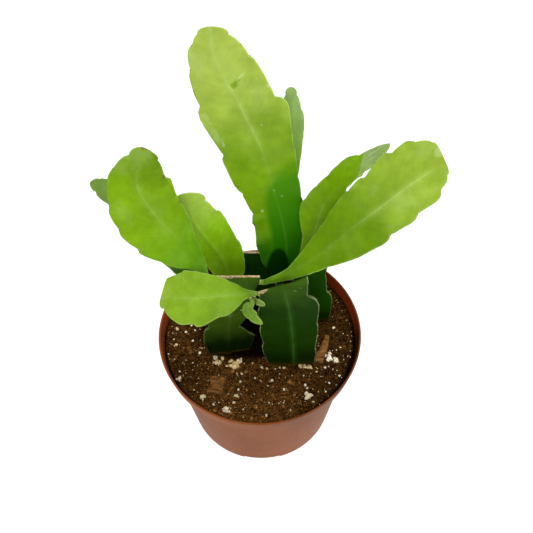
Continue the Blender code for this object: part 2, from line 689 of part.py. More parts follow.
def make_soil(cuttings):
    """A plug that follows the pot's inside, with holes for the cuttings and crumbs on its top."""
    underside = [(radius - GAP, height + GAP) for radius, height in inner_wall()]
    rings = [SOIL_RADIUS, *reversed(SOIL_RINGS), 0]
    top = [(radius, POT_HEIGHT) for radius in rings]
    mesh = turned([(0, FLOOR + GAP)] + underside + top)
    for vertex in mesh.verts:
        if vertex.co.z == POT_HEIGHT:
            vertex.co.z = soil_height(vertex.co.x, vertex.co.y)
    soil = add_object("soil", mesh, "soil")

    rng = random.Random(CRUMB_SEED)
    feet = [
        (blade.margin(LEFT, 0)[0].to_2d(), blade.margin(RIGHT, 0)[0].to_2d())
        for blade in cuttings.values()
    ]
    loose = []
    for index, (x, y, size) in enumerate(crumb_places(feet, rng)):
        loose.append(make_crumb(f"crumb_{index}", Vector((x, y, top_of(soil, x, y))), size, rng))
    for index, (x, y, length, width, turn) in enumerate(BARK_CHIPS):
        place = Vector((x, y, top_of(soil, x, y)))
        loose.append(make_chip(f"chip_{index}", place, length, width, turn))
    boolean(soil, loose, "UNION")
    slots = [make_slot(name + "_slot", blade) for name, blade in cuttings.items()]
    boolean(soil, slots, "DIFFERENCE")


def main():
    clear_scene()
    blades = {name: cutting_blade(shape) for name, shape in CUTTINGS.items()}
    cuttings = dict(blades)
    for name, shape in SHOOTS.items():
        blades[name] = shoot_blade(shape, blades)
    make_pot()
    make_soil(cuttings)
    for name, blade in blades.items():
        if name in cuttings:
            make_cutting(name, blade)
        else:
            make_shoot(name, blade)


main()
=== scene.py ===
"""The looks of a potted queen of the night cactus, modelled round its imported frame.

Four dark old cuttings stand in peat in a round nursery pot, and lime green shoots grow from their
margins. Tables and named sizes are in millimetres, and MM turns them into metres. +Z is up along
the pot's axis, and the plant's front looks towards -Y. Colours are linear red, green and blue.
"""

import math
import random

import bpy
from mathutils import Matrix, Vector, noise


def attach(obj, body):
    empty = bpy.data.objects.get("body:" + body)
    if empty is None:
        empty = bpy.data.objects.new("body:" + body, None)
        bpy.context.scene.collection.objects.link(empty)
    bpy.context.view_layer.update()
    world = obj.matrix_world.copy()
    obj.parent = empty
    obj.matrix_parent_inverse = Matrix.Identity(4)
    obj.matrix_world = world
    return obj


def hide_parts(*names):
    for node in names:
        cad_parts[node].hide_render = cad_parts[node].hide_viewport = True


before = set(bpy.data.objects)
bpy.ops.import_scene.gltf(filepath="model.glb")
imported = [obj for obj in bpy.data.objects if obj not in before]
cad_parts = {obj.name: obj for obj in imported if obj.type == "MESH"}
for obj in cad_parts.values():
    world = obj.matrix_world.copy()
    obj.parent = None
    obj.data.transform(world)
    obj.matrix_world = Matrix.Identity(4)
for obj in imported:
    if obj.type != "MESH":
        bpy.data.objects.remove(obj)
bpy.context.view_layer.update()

MM = 0.001
LEFT, RIGHT = -1, 1

# The camera, as a place, how far it looks down in degrees, its lean, and its lens and sensor
CAMERA_PLACE = (4.4, -206.3, 427.7)
CAMERA_LOOKS_DOWN = 53.6
CAMERA_LEAN = -0.64
CAMERA_LENS = 45.25
CAMERA_SENSOR = 36
CAMERA_SEES_FROM = 10.0

# The pot
POT_SEGMENTS = 144
POT_HEIGHT = 85.0
RIM_RADIUS = 60.0
LIP = 1.1
WALL = 1.1
BAND_HEIGHT = 10.3
BAND_FOOT = POT_HEIGHT - BAND_HEIGHT
BAND_LOW_RADIUS = 58.6
BODY_TOP_RADIUS = 54.7
BASE_RADIUS = 47.3
FLOOR = 1.5
FLOOR_RISE = 2.0
FLOOR_DISC_RADIUS = 33.0
FLOOR_STEP_INSET = 1.4
FOOT_WALL = 1.0
FOOT_ROUND, LIP_ROUND = 0.4, 0.5
FOOT_GAPS = 5
FOOT_GAP_WIDTH = 23.0
FOOT_GAP_DEPTH = 6.0
DRAIN_RADIUS = 3.5
DRAIN_RING_RADIUS = 40.5
DRAIN_CUT_LENGTH = 8.0
DRAIN_SEGMENTS = 32
SHARP_FROM = 35

# The soil and what lies on it
GAP = 0.3
SOIL_RADIUS = BAND_LOW_RADIUS - WALL - GAP
SOIL_LEVEL = 74.6
SOIL_EDGE_RISE = 2.7
SOIL_BUMP = 0.5
SOIL_BUMP_LENGTH = 3.4
SOIL_RIPPLE_LENGTH = 1.7
SOIL_RIPPLE_SHARE = 0.6
SOIL_GRID = 190
SOIL_GRAINS = ((3.4, 0.55), (1.4, 0.42), (0.75, 0.3))
# Large crumbs by place and width, and small ones by place
LARGE_CRUMBS = [
    (-26.4, -13.2, 3.0), (-25.8, -16.6, 3.8), (-15.2, -19.4, 4.6), (-17.0, -15.4, 3.0),
    (-11.6, -15.6, 2.6), (-46.9, -28.4, 2.8), (-33.2, -39.4, 3.2), (-13.6, -38.3, 2.6),
    (-19.2, -47.0, 3.4), (27.4, -39.4, 4.2), (41.0, -15.2, 4.0), (44.6, -16.4, 3.6),
    (41.6, -11.4, 2.2), (38.6, -12.8, 1.8), (-13.0, -15.6, 2.2), (-22.4, -13.6, 2.0),
    (23.6, -19.4, 2.8), (26.4, -20.3, 2.6), (29.2, -20.2, 3.0), (-13.4, -18.6, 2.4),
]
SMALL_CRUMBS = [
    (4.0, -21.0), (-15.0, -42.5), (-19.5, -19.0), (-3.0, -27.0), (20.0, -32.0), (27.0, -34.0),
    (37.5, -37.0), (38.0, -21.0), (30.0, -43.0), (-21.0, -46.5), (46.0, -27.0), (-12.5, -34.5),
    (17.0, -48.0), (-40.5, -2.0), (-22.0, -14.0), (14.0, -20.4), (33.0, -23.5), (26.0, -32.0),
    (5.0, -43.0), (-17.5, -48.5), (-4.5, -17.5), (11.6, -20.0), (1.0, -20.0), (9.0, -20.6),
    (-47.0, -23.0), (-45.0, 4.0), (-42.0, 9.0), (48.0, -8.0), (45.0, 6.0), (-36.0, -10.0),
]
SMALL_CRUMB_SIZES = (1.0, 1.7)
CRUMB_SEED = 12
CRUMB_COUNT = 20
CRUMB_SIZES = (0.9, 1.9)
CRUMB_SPREAD = 52.0
CRUMB_SPACING = 1.2
CRUMB_KEEP_OUT = 2.4
CRUMB_RAISE = 0.18
CRUMB_STRETCH = ((0.9, 1.2), (0.75, 1.0), (0.6, 0.85))
STAINED_FROM, STAINED_REACH = -25, 35
CLUSTER_FROM = 2.5
# Painted shade on the soil under the plant: its middle, squash, radius and fade
SHADE_MIDDLE = (-8.0, 5.0)
SHADE_SHAPE = (0.62, 0.8)
SHADE_RADIUS = 13.0
SHADE_FADE = 8.0
# Chips by place, length, width, and how far they are turned in degrees
BARK_CHIPS = [(-25.6, -31.5, 10.5, 9.0, 82), (38.0, -8.4, 19.0, 6.4, 68)]
CHIP_THICKNESS = 1.6
CHIP_SINK = 0.3
CHIP_SEED = 9
CHIP_CUTS = 23
CHIP_SHARP_FROM = 50
CHIP_ROUNDING, CHIP_GRAIN, CHIP_LUMPS, CHIP_RAGGED = 0.22, 0.28, 0.35, 0.55
LONG_CHIP, CHIP_TAPER, CHIP_BEND = 12, 0.6, 0.009
STREW_SEED = 5
STREW_RADIUS = 56.0
SPECK_COUNT, CLOD_COUNT, FIBRE_COUNT = 520, 1500, 520
SPECK_KEEP_OUT, CLOD_KEEP_OUT, FIBRE_KEEP_OUT = 0.2, 0.6, 0.8
SPECK_SIZES = (0.22, 0.62)
CLOD_LEAST, CLOD_MORE = 0.3, 0.9
CLOD_STRETCH = ((0.7, 1.3), (0.7, 1.3), (0.5, 0.9))
FIBRE_LENGTHS, FIBRE_WIDTHS, FIBRE_FLATNESS = (1.2, 5.0), (0.07, 0.2), (0.4, 1.0)
STRAW_LENGTH = 6

# How a blade is built
ACROSS_HALF = (0.04, 0.1, 0.18, 0.3, 0.44, 0.58, 0.72, 0.84, 0.93, 1.0)
ACROSS = tuple(-t for t in reversed(ACROSS_HALF)) + (0.0,) + ACROSS_HALF
ROW_LENGTH = 1.4
ROW_CROWDING = 1.6
DIRECTION_REACH = 1.5
NECK_THICKNESS = 1.8
NECK_LENGTH = 12.0
NECK_STEPS = 3
NECK_STEP = 1.2
NECK_FLARE = 1.6
SEAT_GAP = 0.5
LOBE_FULLNESS = 0.6
TIP_FADE = 14.0
TIP_ROWS = 12
TIP_ROUNDNESS = 2.2
CUT_FADE = 8.0
CUT_EDGE = 1.0
NO_CUT = 1000.0
NEARLY_NOTHING = 1e-6
STUB_DEPTH = 28.0
STUB_TAPER = 0.35
STUB_ROWS = 8
RIB_WIDTH = 1.5
WEB_ROUNDNESS = 1.7
LOBE_RIPPLE = 0.45
SHELF = 2.5
NOTCH_DEPTH = (0.2, 0.35)
NOTCH_REACH = 0.9
SCALLOP = 0.5
SCALLOP_LENGTH = 2.4
DRIFT = 0.5
DRIFT_LENGTH = 16.0
THICKEST = 5.0
AREOLE_SEED, COLLAR_SEED = 3, 7
AREOLE_SIZE, SMALL_AREOLE_SIZE = 0.4, 0.25
AREOLE_SHAPE = (0.8, 1.3, 0.6)
AREOLE_SINK = 0.8
COLLAR_SIZE, SMALL_COLLAR_SIZE = 1.0, 0.62
COLLAR_LIFT = 0.7
CALLUS_SWELL = 0.15
CALLUS_WIDTH = 1.0
CALLUS_WOBBLE = 0.35
CALLUS_WOBBLE_LENGTH = 2.2

# Thickness in the middle, beside the rib, and at the margin
CUTTING_THICKNESS = (3.6, 2.6, 1.6)
SHOOT_THICKNESS = (2.8, 1.7, 1.0)
SMALL_THICKNESS = (1.4, 1.1, 0.8)

# Cuttings. A route is the middle line from the soil up, face is the way the front looks, and each
# side lists its notches: distance along, half width there, and how far the lobe below it bulges.
CUTTINGS = {
    "cutting_front": dict(
        route=[(20, -17.3, 75), (18.7, -17, 101), (16, -16.5, 133), (12.5, -16, 153),
               (11, -16, 158)],
        face=[(0, -1, 0)],
        left=[(0, 15, 0), (24, 16.7, 1.6), (42, 17, 0.8), (60, 16, 0.8), (76, 12.5, 0)],
        right=[(0, 12, 0), (17, 12.5, 0.7), (43, 14.1, 0.8), (68, 10.6, 4), (82, 13.6, 0)],
    ),
    "cutting_left": dict(
        route=[(-19.5, -9, 74), (-17.5, -9, 100), (-14, -8.3, 130), (-10.5, -7.5, 151)],
        face=[(0.16, -0.987, 0)],
        left=[(0, 10.5, 0), (17, 14.3, 0.4), (30, 11.2, 2), (40, 13.5, 0.5), (58, 12, 3),
              (77.5, 11, 1)],
        right=[(0, 13, 0), (17, 15.7, 0.2), (29.5, 5.4, 0), (44, 9, 2), (60, 10, 2),
               (76, 12, 1)],
    ),
    "cutting_back": dict(
        route=[(-5, 20, 73), (-4.5, 20, 105), (-4, 20, 134.7)],
        face=[(0, -1, 0)],
        left=[(0, 10, 0), (24, 9, 3), (46, 9, 2.5), (61.5, 9, 2)],
        right=[(0, 11, 0), (20, 12, 2), (42, 11.5, 2.5), (61.5, 10, 2)],
    ),
    "cutting_right": dict(
        route=[(31, 13, 75), (27, 13, 107), (25, 13.5, 134)],
        face=[(0, -1, 0)],
        left=[(0, 11, 0), (20, 10, 2), (38, 7, 2), (52, 3.5, 1.5)],
        right=[(0, 12, 0), (29, 12.2, 2.7), (46, 11.6, 0.5), (57, 12, 1)],
    ),
}

# Shoots. seat is the parent, its side, and how far along that margin the shoot sprouts. The route
# goes on from there. fold is how far the halves lift towards the face, at the neck and at the tip.
# tip is how blunt the end is, if not as usual, and the two smallest are thinner.
SHOOTS = {
    "shoot_tall": dict(
        seat=("cutting_back", RIGHT, 33),
        route=[(13.5, 17.2, 114), (15.2, 16.4, 131), (15, 17, 148), (12, 19.3, 166.7),
               (7.5, 22, 186), (2.5, 26, 207), (-3, 29, 220), (-8, 32, 231), (-13.5, 35, 241),
               (-17.5, 38, 251), (-18, 40.8, 261.95)],
        face=[(0, -0.93, 0.36)],
        left=[(0, 1, 0), (26, 12.5, 0), (46, 16.2, 0.3), (64.5, 15.5, -0.9), (71, 13.7, 0),
              (85, 15.3, 0.4), (90, 18, 0), (111, 18.1, 1.4), (140, 16.3, 2.6),
              (154, 12.2, 0.9), (161.3, 8.8, 1), (165.5, 6, 0.3)],
        right=[(0, 1, 0), (26, 8, 0), (46, 9.5, 0.4), (60, 10.6, 0.4), (74.5, 12.7, 0.5),
               (87.5, 13.6, 0.3), (96, 14.6, 0), (104, 15, 0.4), (128.5, 16.5, 4),
               (149.8, 14.9, 0.8), (161, 12.7, 0.2), (165.3, 8, 1.2)],
        fold=(0.12, 0.06),
    ),
    "shoot_tall_behind": dict(
        seat=("cutting_back", RIGHT, 16),
        route=[(12, 25, 112), (13.5, 30, 149), (16, 37, 188), (17, 42, 209), (16.7, 46.3, 225.8)],
        face=[(0.2, -0.9, 0.4)],
        left=[(0, 1, 0), (34, 6, 0), (64, 9, 1.5), (94, 9, 1.5), (132, 4.8, 1.5),
              (141, 2.9, 0.3)],
        right=[(0, 1, 0), (34, 5, 0), (64, 6, 1), (95, 5.8, 1.2), (133.5, 4.9, 1.5),
               (140.5, 3.0, 0.3)],
        fold=(0.2, 0.1),
    ),
    "shoot_right_long": dict(
        seat=("cutting_left", RIGHT, 71),
        route=[(7.5, -7.2, 146.4), (13.5, -8, 151), (21, -9, 159.1), (32, -9.3, 172.5),
               (43, -8.5, 186.4), (56, -5, 198), (69, 1, 206), (80.5, 7, 210.7),
               (85.8, 9.2, 211.7)],
        face=[(-0.3, -0.6, 0.75)],
        left=[(0, 1.3, 0), (22, 2.8, 0), (55, 10.8, 0.3), (74, 15.3, 0.6), (84.3, 15.6, 1),
              (100, 17.2, 1.9), (110.5, 15.8, 1.6), (115.3, 11.6, 0.5)],
        right=[(0, 1.3, 0), (22, 3.7, 0), (44, 8, 0), (62, 13.1, 0.2), (78.5, 13.2, 1.3),
               (93, 12.9, 1.1), (108, 10, 2), (115.6, 5.5, 1.2)],
        fold=(0.1, 0.08),
    ),
    "shoot_right_upper": dict(
        seat=("cutting_right", LEFT, 44.5),
        route=[(19.3, 11.5, 128), (24, 10.4, 141), (28, 11, 159), (32, 12, 179),
               (38.5, 16, 189.5), (46.5, 22, 195), (56, 30, 196), (66, 38, 197)],
        face=[(0.1, -0.9, 0.4), (0.1, -0.9, 0.4), (-0.1, -0.4, 0.8), (-0.3, 0.1, 0.95)],
        left=[(0, 1, 0), (45, 5, 0), (67, 9.8, 1.6), (74, 8.3, 0.2), (81, 7.2, 0.2),
              (87.2, 7.4, 0.3), (96.7, 6.6, 0.6), (100, 4.8, 0), (108, 3.9, 0.4)],
        right=[(0, 1, 0), (45, 5, 0), (61, 9, 2), (71, 7.5, 1), (82, 4.4, 0.8), (87, 4.5, 0),
               (93.3, 4.7, 0.5), (101, 4.8, 0.3), (109, 3.2, 0.3)],
        fold=(0.2, 0.05),
        tip=1.4,
    ),
    "shoot_left_large": dict(
        seat=("cutting_left", LEFT, 74.5),
        route=[(-29.5, -6, 164), (-38.5, -2.5, 174), (-46.5, 0, 186.5), (-51.5, 2.5, 196),
               (-54.5, 6, 204), (-53, 9.2, 212), (-48.5, 13.5, 219)],
        face=[(0.3, -0.7, 0.65)],
        left=[(0, 1, 0), (19, 9, 0), (30, 13.4, 0.5), (43, 17, 1.2), (54.5, 17.7, 1),
              (63.5, 15.5, 0.9), (73.5, 11, 0.5), (79, 6, 0.5)],
        right=[(0, 1, 0), (18, 3, 0), (33, 10.5, 0), (46.5, 12.7, 1), (52.5, 14.2, 0.2),
               (64.5, 14.3, 1.4), (71.5, 14.2, 1.4), (82.8, 7.2, 1.6)],
        fold=(0.2, 0.08),
    ),
    "shoot_left_behind": dict(
        seat=("cutting_left", LEFT, 64),
        route=[(-37.3, -2.2, 157), (-51.2, 6.7, 172), (-65, 14.7, 184), (-82, 23.7, 187)],
        face=[(0.3, -0.7, 0.65)],
        left=[(0, 1, 0), (23, 8, 0), (40, 8, 1.5), (57, 7, 1.5), (73, 6.2, 1.5),
              (82.6, 3.3, 0.8)],
        right=[(0, 1, 0), (23, 5, 0), (40, 5.5, 1), (57, 6.5, 1), (74, 6.5, 1.5),
               (83.5, 4, 0.4)],
        fold=(0.1, 0.1),
        tip=1.6,
    ),
    "shoot_left_inner": dict(
        seat=("cutting_back", LEFT, 28),
        route=[(-18.9, 15.3, 108), (-17.5, 13.2, 122), (-20.4, 12.6, 140), (-26.7, 12.2, 156),
               (-31.8, 13.3, 167.3), (-33.8, 15.3, 177.3), (-33, 17.6, 185.4)],
        face=[(0.3, -0.8, 0.5)],
        left=[(0, 1, 0), (30, 7, 0), (54, 9, 1), (74, 10, 1), (90, 6.5, 1)],
        right=[(0, 1, 0), (26, 10, 0), (49, 12.9, 0.6), (75, 13.5, 1.3), (88.5, 8.5, 0.5)],
        fold=(0.1, 0.08),
        tip=2.8,
    ),
    "shoot_low_left": dict(
        seat=("cutting_front", LEFT, 74.5),
        route=[(-8, -20.3, 152.2), (-16, -23.8, 155.7), (-28, -25.8, 157.2), (-38, -25.8, 157.2),
               (-46.8, -23.7, 157.4)],
        face=[(0, -0.35, 0.94)],
        left=[(0, 1, 0), (12.5, 3.3, 0), (21.5, 9.8, 0), (25, 10.2, 0.2), (37, 13, 1.9),
              (43, 12.7, 0.3), (49.5, 6.6, 0.3)],
        right=[(0, 1, 0), (10.5, 3.2, 0), (22, 9.5, 0.3), (32, 12.8, 0.2), (43, 14.3, 0.3),
               (45, 13.2, 0), (51.5, 9.6, 0.3)],
        fold=(0.2, 0.08),
        tip=3,
    ),
    "sprout_tiny": dict(
        seat=("shoot_low_left", LEFT, 3.4),
        route=[(-0.2, -21.6, 147.4), (3.4, -22.2, 145.2)],
        face=[(0, -0.5, 0.9), (0, -0.9, 0.3)],
        left=[(0, 0.7, 0), (5, 1.6, 0.2)],
        right=[(0, 0.7, 0), (5, 1.6, 0.2)],
        fold=(0.1, 0.1),
        thickness=SMALL_THICKNESS,
    ),
    "shoot_small_hanging": dict(
        seat=("shoot_low_left", LEFT, 7.2),
        route=[(-5.6, -22.6, 143.5), (-4.4, -22.9, 139.5), (-2, -23, 134), (2, -23.2, 129)],
        face=[(0, -0.5, 0.9), (0, -0.9, 0.3), (0, -0.9, 0.3)],
        left=[(0, 0.8, 0), (7, 2.9, 0), (16, 2.6, 0.5)],
        right=[(0, 0.8, 0), (7, 2.9, 0), (16, 2.6, 0.5)],
        fold=(0.2, 0.2),
        tip=1.6,
        thickness=SMALL_THICKNESS,
    ),
}

# The skin of each blade: colours at its base, middle and tip, and how far along each one reaches.
# The rest is the colour of the midrib and of the margin, how strongly both show, where the midrib
# starts to show well and where it ends, how much the change to the tip's colour slants across the
# blade, and how strong the painted sheen is: pale patches that cloud its upper part.
LIME = dict(
    base=(0.09, 0.21, 0.003), middle=(0.12, 0.25, 0.003), tip=(0.20, 0.33, 0.028),
    rib=(0.40, 0.55, 0.14), rib_strength=0.35, edge=(0.42, 0.56, 0.18), edge_strength=0.35,
    painted_sheen=0.22,
)
BLUISH = dict(
    rib=(0.3, 0.44, 0.2), rib_strength=0.2, edge=(0.34, 0.46, 0.2), edge_strength=0.3,
    slot="blue_shoot",
)
SKINS = {
    "cutting_front": dict(
        base=(0.0035, 0.016, 0.0002), middle=(0.0075, 0.032, 0.0004), tip=(0.034, 0.088, 0.003),
        rib=(0.045, 0.14, 0.016), rib_strength=0.5, edge=(0.26, 0.33, 0.13), edge_strength=0.8,
        reach=(5, 30, 55, 86), rib_end=85, gloss=0.42, slot="cutting",
    ),
    "cutting_left": dict(
        base=(0.002, 0.010, 0.0002), middle=(0.034, 0.072, 0.003), tip=(0.058, 0.134, 0.009),
        rib=(0.07, 0.13, 0.03), rib_strength=0.25, edge=(0.14, 0.20, 0.06), edge_strength=0.5,
        reach=(10, 46, 50, 70), rib_start=26, rib_end=56, gloss=0.5, slot="cutting",
    ),
    "cutting_back": dict(
        base=(0.003, 0.011, 0.0002), middle=(0.0065, 0.032, 0.0003), tip=(0.008, 0.052, 0.0003),
        rib=(0.03, 0.07, 0.01), rib_strength=0.1, edge=(0.05, 0.12, 0.02), edge_strength=0.3,
        reach=(5, 25, 35, 55), rib_end=50, gloss=0.5, slot="cutting",
    ),
    "cutting_right": dict(
        base=(0.0045, 0.026, 0.0002), middle=(0.010, 0.054, 0.0003), tip=(0.0098, 0.068, 0.0003),
        rib=(0.05, 0.13, 0.01), rib_strength=0.2, edge=(0.14, 0.24, 0.06), edge_strength=0.5,
        reach=(3, 16, 36, 55), rib_end=60, gloss=0.45, slot="cutting",
    ),
    "shoot_tall": dict(
        LIME, base=(0.02, 0.16, 0.0005), middle=(0.148, 0.295, 0.001), tip=(0.35, 0.465, 0.065),
        reach=(27, 84, 90, 158), rib_strength=0.55, rib_start=112, rib_end=178,
    ),
    "shoot_tall_behind": dict(
        BLUISH, base=(0.05, 0.13, 0.02), middle=(0.24, 0.43, 0.05), tip=(0.29, 0.45, 0.13),
        reach=(20, 60, 100, 140), rib_end=120,
    ),
    "shoot_right_long": dict(
        LIME, base=(0.11, 0.268, 0.003), middle=(0.120, 0.250, 0.001), tip=(0.222, 0.340, 0.026),
        reach=(10, 40, 60, 104), rib_strength=0.5, rib_start=76, rib_end=118,
    ),
    "shoot_right_upper": dict(
        LIME, base=(0.095, 0.235, 0.0005), middle=(0.13, 0.268, 0.0005), tip=(0.20, 0.305, 0.08),
        reach=(10, 40, 95.4, 97), slant=1.4, rib_strength=0.2, rib_end=80, painted_sheen=0.15,
    ),
    "shoot_left_large": dict(
        LIME, base=(0.088, 0.235, 0.001), middle=(0.158, 0.300, 0.004), tip=(0.120, 0.236, 0.001),
        reach=(14, 56, 62, 82), rib_strength=0.22, rib_start=42, rib_end=80,
        edge_strength=0.2,
    ),
    "shoot_left_behind": dict(
        BLUISH, base=(0.015, 0.095, 0.0006), middle=(0.12, 0.225, 0.03), tip=(0.15, 0.25, 0.045),
        reach=(10, 40, 50, 90), rib_end=70,
    ),
    # Painted light: the inner shoot's base is much lighter than its middle
    "shoot_left_inner": dict(
        LIME, base=(0.32, 0.70, 0.004), middle=(0.23, 0.47, 0.004), tip=(0.34, 0.52, 0.060),
        reach=(5, 40, 58, 92), rib_strength=0.12, rib_end=84,
    ),
    "shoot_low_left": dict(
        LIME, base=(0.070, 0.160, 0.003), middle=(0.145, 0.27, 0.010), tip=(0.19, 0.33, 0.016),
        reach=(3, 24, 26, 44), rib_strength=0.2, rib_end=54,
    ),
    "shoot_small_hanging": dict(
        LIME, base=(0.05, 0.13, 0.005), middle=(0.095, 0.20, 0.010), tip=(0.13, 0.255, 0.018),
        reach=(0, 4, 6, 14), rib_strength=0.2, rib_end=22,
    ),
    "sprout_tiny": dict(
        LIME, base=(0.05, 0.10, 0.005), middle=(0.09, 0.15, 0.012), tip=(0.13, 0.20, 0.03),
        reach=(0, 2, 3, 8), rib_strength=0.1, rib_end=8,
    ),
}

# The tall shoot's painted shadow, darker low down on its right: the colours at the foot and top of
# that zone, and its bounds, as the distance across where it starts and how far along it has ended
ZONE_LOW, ZONE_HIGH = (0.018, 0.148, 0.0003), (0.054, 0.225, 0.0005)
ZONE_RIB, ZONE_FOOT = (0.08, 0.26, 0.006), (0.0006, 0.027, 0.0003)
ZONE_ACROSS, ZONE_SPREAD = -7.2, 13.0
ZONE_FROM, ZONE_RISE, ZONE_TOP = 50.0, 45.0, 95.0
ZONE_STRENGTH = 0.94
# The darkest painted shadow, round the shoot's foot: its middle, and its reach across and along
FOOT_MIDDLE, FOOT_REACH = (-4.4, 25.0), (6.2, 17.0)

# Marks on a blade: how far across and along, half its width and length, how far it is turned from
# the blade's line in degrees, its colour and its strength
PALE, SCAR, BROWN = (0.50, 0.60, 0.28), (0.15, 0.28, 0.004), (0.12, 0.05, 0.008)
MARKS = {
    "shoot_tall": [
        (2.2, 140.8, 1.4, 1.8, 40, SCAR, 0.8), (4.5, 141.7, 1.0, 2.4, 72, SCAR, 0.65),
        (6.8, 142.8, 0.45, 2.7, 71, (0.50, 0.60, 0.22), 0.9),
        (-8.5, 154.5, 3.2, 5.5, 0, PALE, 0.1), (10.5, 133.5, 3.5, 4.5, 20, PALE, 0.08),
        (-15.0, 147.5, 0.6, 3.0, 0, BROWN, 0.7), (5.1, 118.5, 0.5, 0.6, 0, PALE, 0.45),
        (-8.6, 71.5, 0.9, 1.0, 0, PALE, 0.5), (0.3, 82.5, 0.6, 0.7, 0, PALE, 0.25),
        (3.3, 78.0, 0.6, 0.7, 0, PALE, 0.25), (15.8, 134.0, 0.8, 1.0, 0, PALE, 0.7),
        (-14.7, 63.0, 0.8, 1.6, 0, BROWN, 0.6), (-16.4, 133.0, 1.2, 3.6, 0, PALE, 0.2),
        (-16.2, 123.0, 1.8, 6.0, -6, PALE, 0.2), (-15.0, 118.5, 0.8, 2.4, 0, PALE, 0.35),
    ],
    "shoot_left_large": [
        (-1.4, 85.0, 3.0, 0.8, 0, BROWN, 0.5), (12.3, 75.0, 0.8, 3.0, 0, BROWN, 0.45),
        (13.0, 66.0, 0.7, 1.2, 0, BROWN, 0.4), (-11.0, 59.0, 3.5, 5.5, 0, PALE, 0.05),
    ],
    "shoot_right_long": [
        (-6.5, 116.5, 2.4, 3.0, -35, PALE, 0.3), (9.5, 112.5, 1.6, 3.0, 10, PALE, 0.2),
        (-8.5, 84.0, 2.4, 3.5, -20, PALE, 0.08), (5.0, 92.0, 3.0, 5.0, -40, PALE, 0.08),
    ],
    "shoot_right_upper": [
        (-1.0, 104.0, 0.6, 6.0, -4, (0.50, 0.56, 0.42), 0.3),
        (1.4, 101.0, 0.4, 4.0, 4, (0.50, 0.56, 0.42), 0.2),
    ],
    "cutting_front": [
        (5.5, 74.5, 0.5, 0.9, -50, PALE, 0.12), (8.4, 76.0, 0.35, 0.8, -50, PALE, 0.12),
    ],
    "cutting_left": [
        (5.6, 47.0, 0.5, 1.3, -70, PALE, 0.6), (-2.0, 44.0, 3.5, 3.0, 0, PALE, 0.05),
    ],
}

# The dry strip along each cut: the distances across between which its height goes from the first
# to the second
CALLUS = {
    "cutting_front": (-12.0, -5.0, 1.7, -1.4),
    "cutting_left": (-3.0, -1.0, 1.3, 0.4),
    "cutting_back": (-6.0, 6.0, 0.4, 0.4),
    "cutting_right": (-6.0, 6.0, 0.4, 0.4),
}
CALLUS_COLOUR, CALLUS_DARK = (0.56, 0.44, 0.25), (0.26, 0.15, 0.06)


# Small tools for modelling

def deselect():
    bpy.ops.object.select_all(action="DESELECT")


def add(primitive, **settings):
    """Adds a primitive with nothing else selected."""
    deselect()
    primitive(**settings)
    return bpy.context.object


def make_active(obj):
    deselect()
    obj.select_set(True)
    bpy.context.view_layer.objects.active = obj


def edit(obj):
    """Opens obj in edit mode with all of it selected."""
    make_active(obj)
    bpy.ops.object.mode_set(mode="EDIT")
    bpy.ops.mesh.select_all(action="SELECT")


def leave_edit():
    bpy.ops.object.mode_set(mode="OBJECT")


def apply_modifiers(obj):
    make_active(obj)
    for modifier in list(obj.modifiers):
        bpy.ops.object.modifier_apply(modifier=modifier.name)


def finish_piece(obj, name, material, slot, *nodes):
    """Names a finished mesh, gives it its surface, and ties it to the frame."""
    obj.name = name
    obj.data.name = name
    obj.data.materials.clear()
    obj.data.materials.append(material)
    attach(obj, "root")
    if nodes:
        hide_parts(*nodes)
    return obj


def clamp(value, low=0.0, high=1.0):
    return min(max(value, low), high)


def mix(first, second, part):
    """The first where part is 0, the second where it is 1."""
    return first + (second - first) * part


def tint(obj, shade):
    """Stores one number on all of a small piece, which its material reads as its own shade."""
    attribute_data = obj.data.attributes.new("tint", "FLOAT", "POINT").data
    attribute_data.foreach_set("value", [shade] * len(obj.data.vertices))


def copy_of(template, matrix, shape, shade):
    """A copy of a template with its own mesh and shade, reshaped if asked, and set in its place."""
    mesh = template.data.copy()
    if shape:
        for vertex in mesh.vertices:
            vertex.co = shape(vertex.co)
    mesh.transform(matrix)
    copy = bpy.data.objects.new(template.name, mesh)
    bpy.context.scene.collection.objects.link(copy)
    tint(copy, shade)
    return copy


def join(parts):
    """Joins small pieces into one object."""
    deselect()
    for part in parts:
        part.select_set(True)
    bpy.context.view_layer.objects.active = parts[0]
    bpy.ops.object.join()
    return bpy.context.object


def finish_parts(parts, template, name, material, slot, smooth=True):
    """Joins the copies of a template into one piece, and removes the template."""
    bpy.data.objects.remove(template)
    obj = join(parts)
    if smooth:
        bpy.ops.object.shade_smooth()
    return finish_piece(obj, name, material, slot)


# Blades

def smooth_path(points, steps=12):
    """A smooth curve through the points, running straight on at both ends."""
    knots = [Vector(point) for point in points]
    knots = [2 * knots[0] - knots[1]] + knots + [2 * knots[-1] - knots[-2]]
    path = []
    for index in range(1, len(knots) - 2):
        a, b, c, d = knots[index - 1:index + 3]
        for step in range(steps):
            t = step / steps
            path.append(
                0.5 * (2 * b + (c - a) * t + (2 * a - 5 * b + 4 * c - d) * t ** 2
                       + (3 * b - a - 3 * c + d) * t ** 3)
            )
    path.append(knots[-2])
    return path


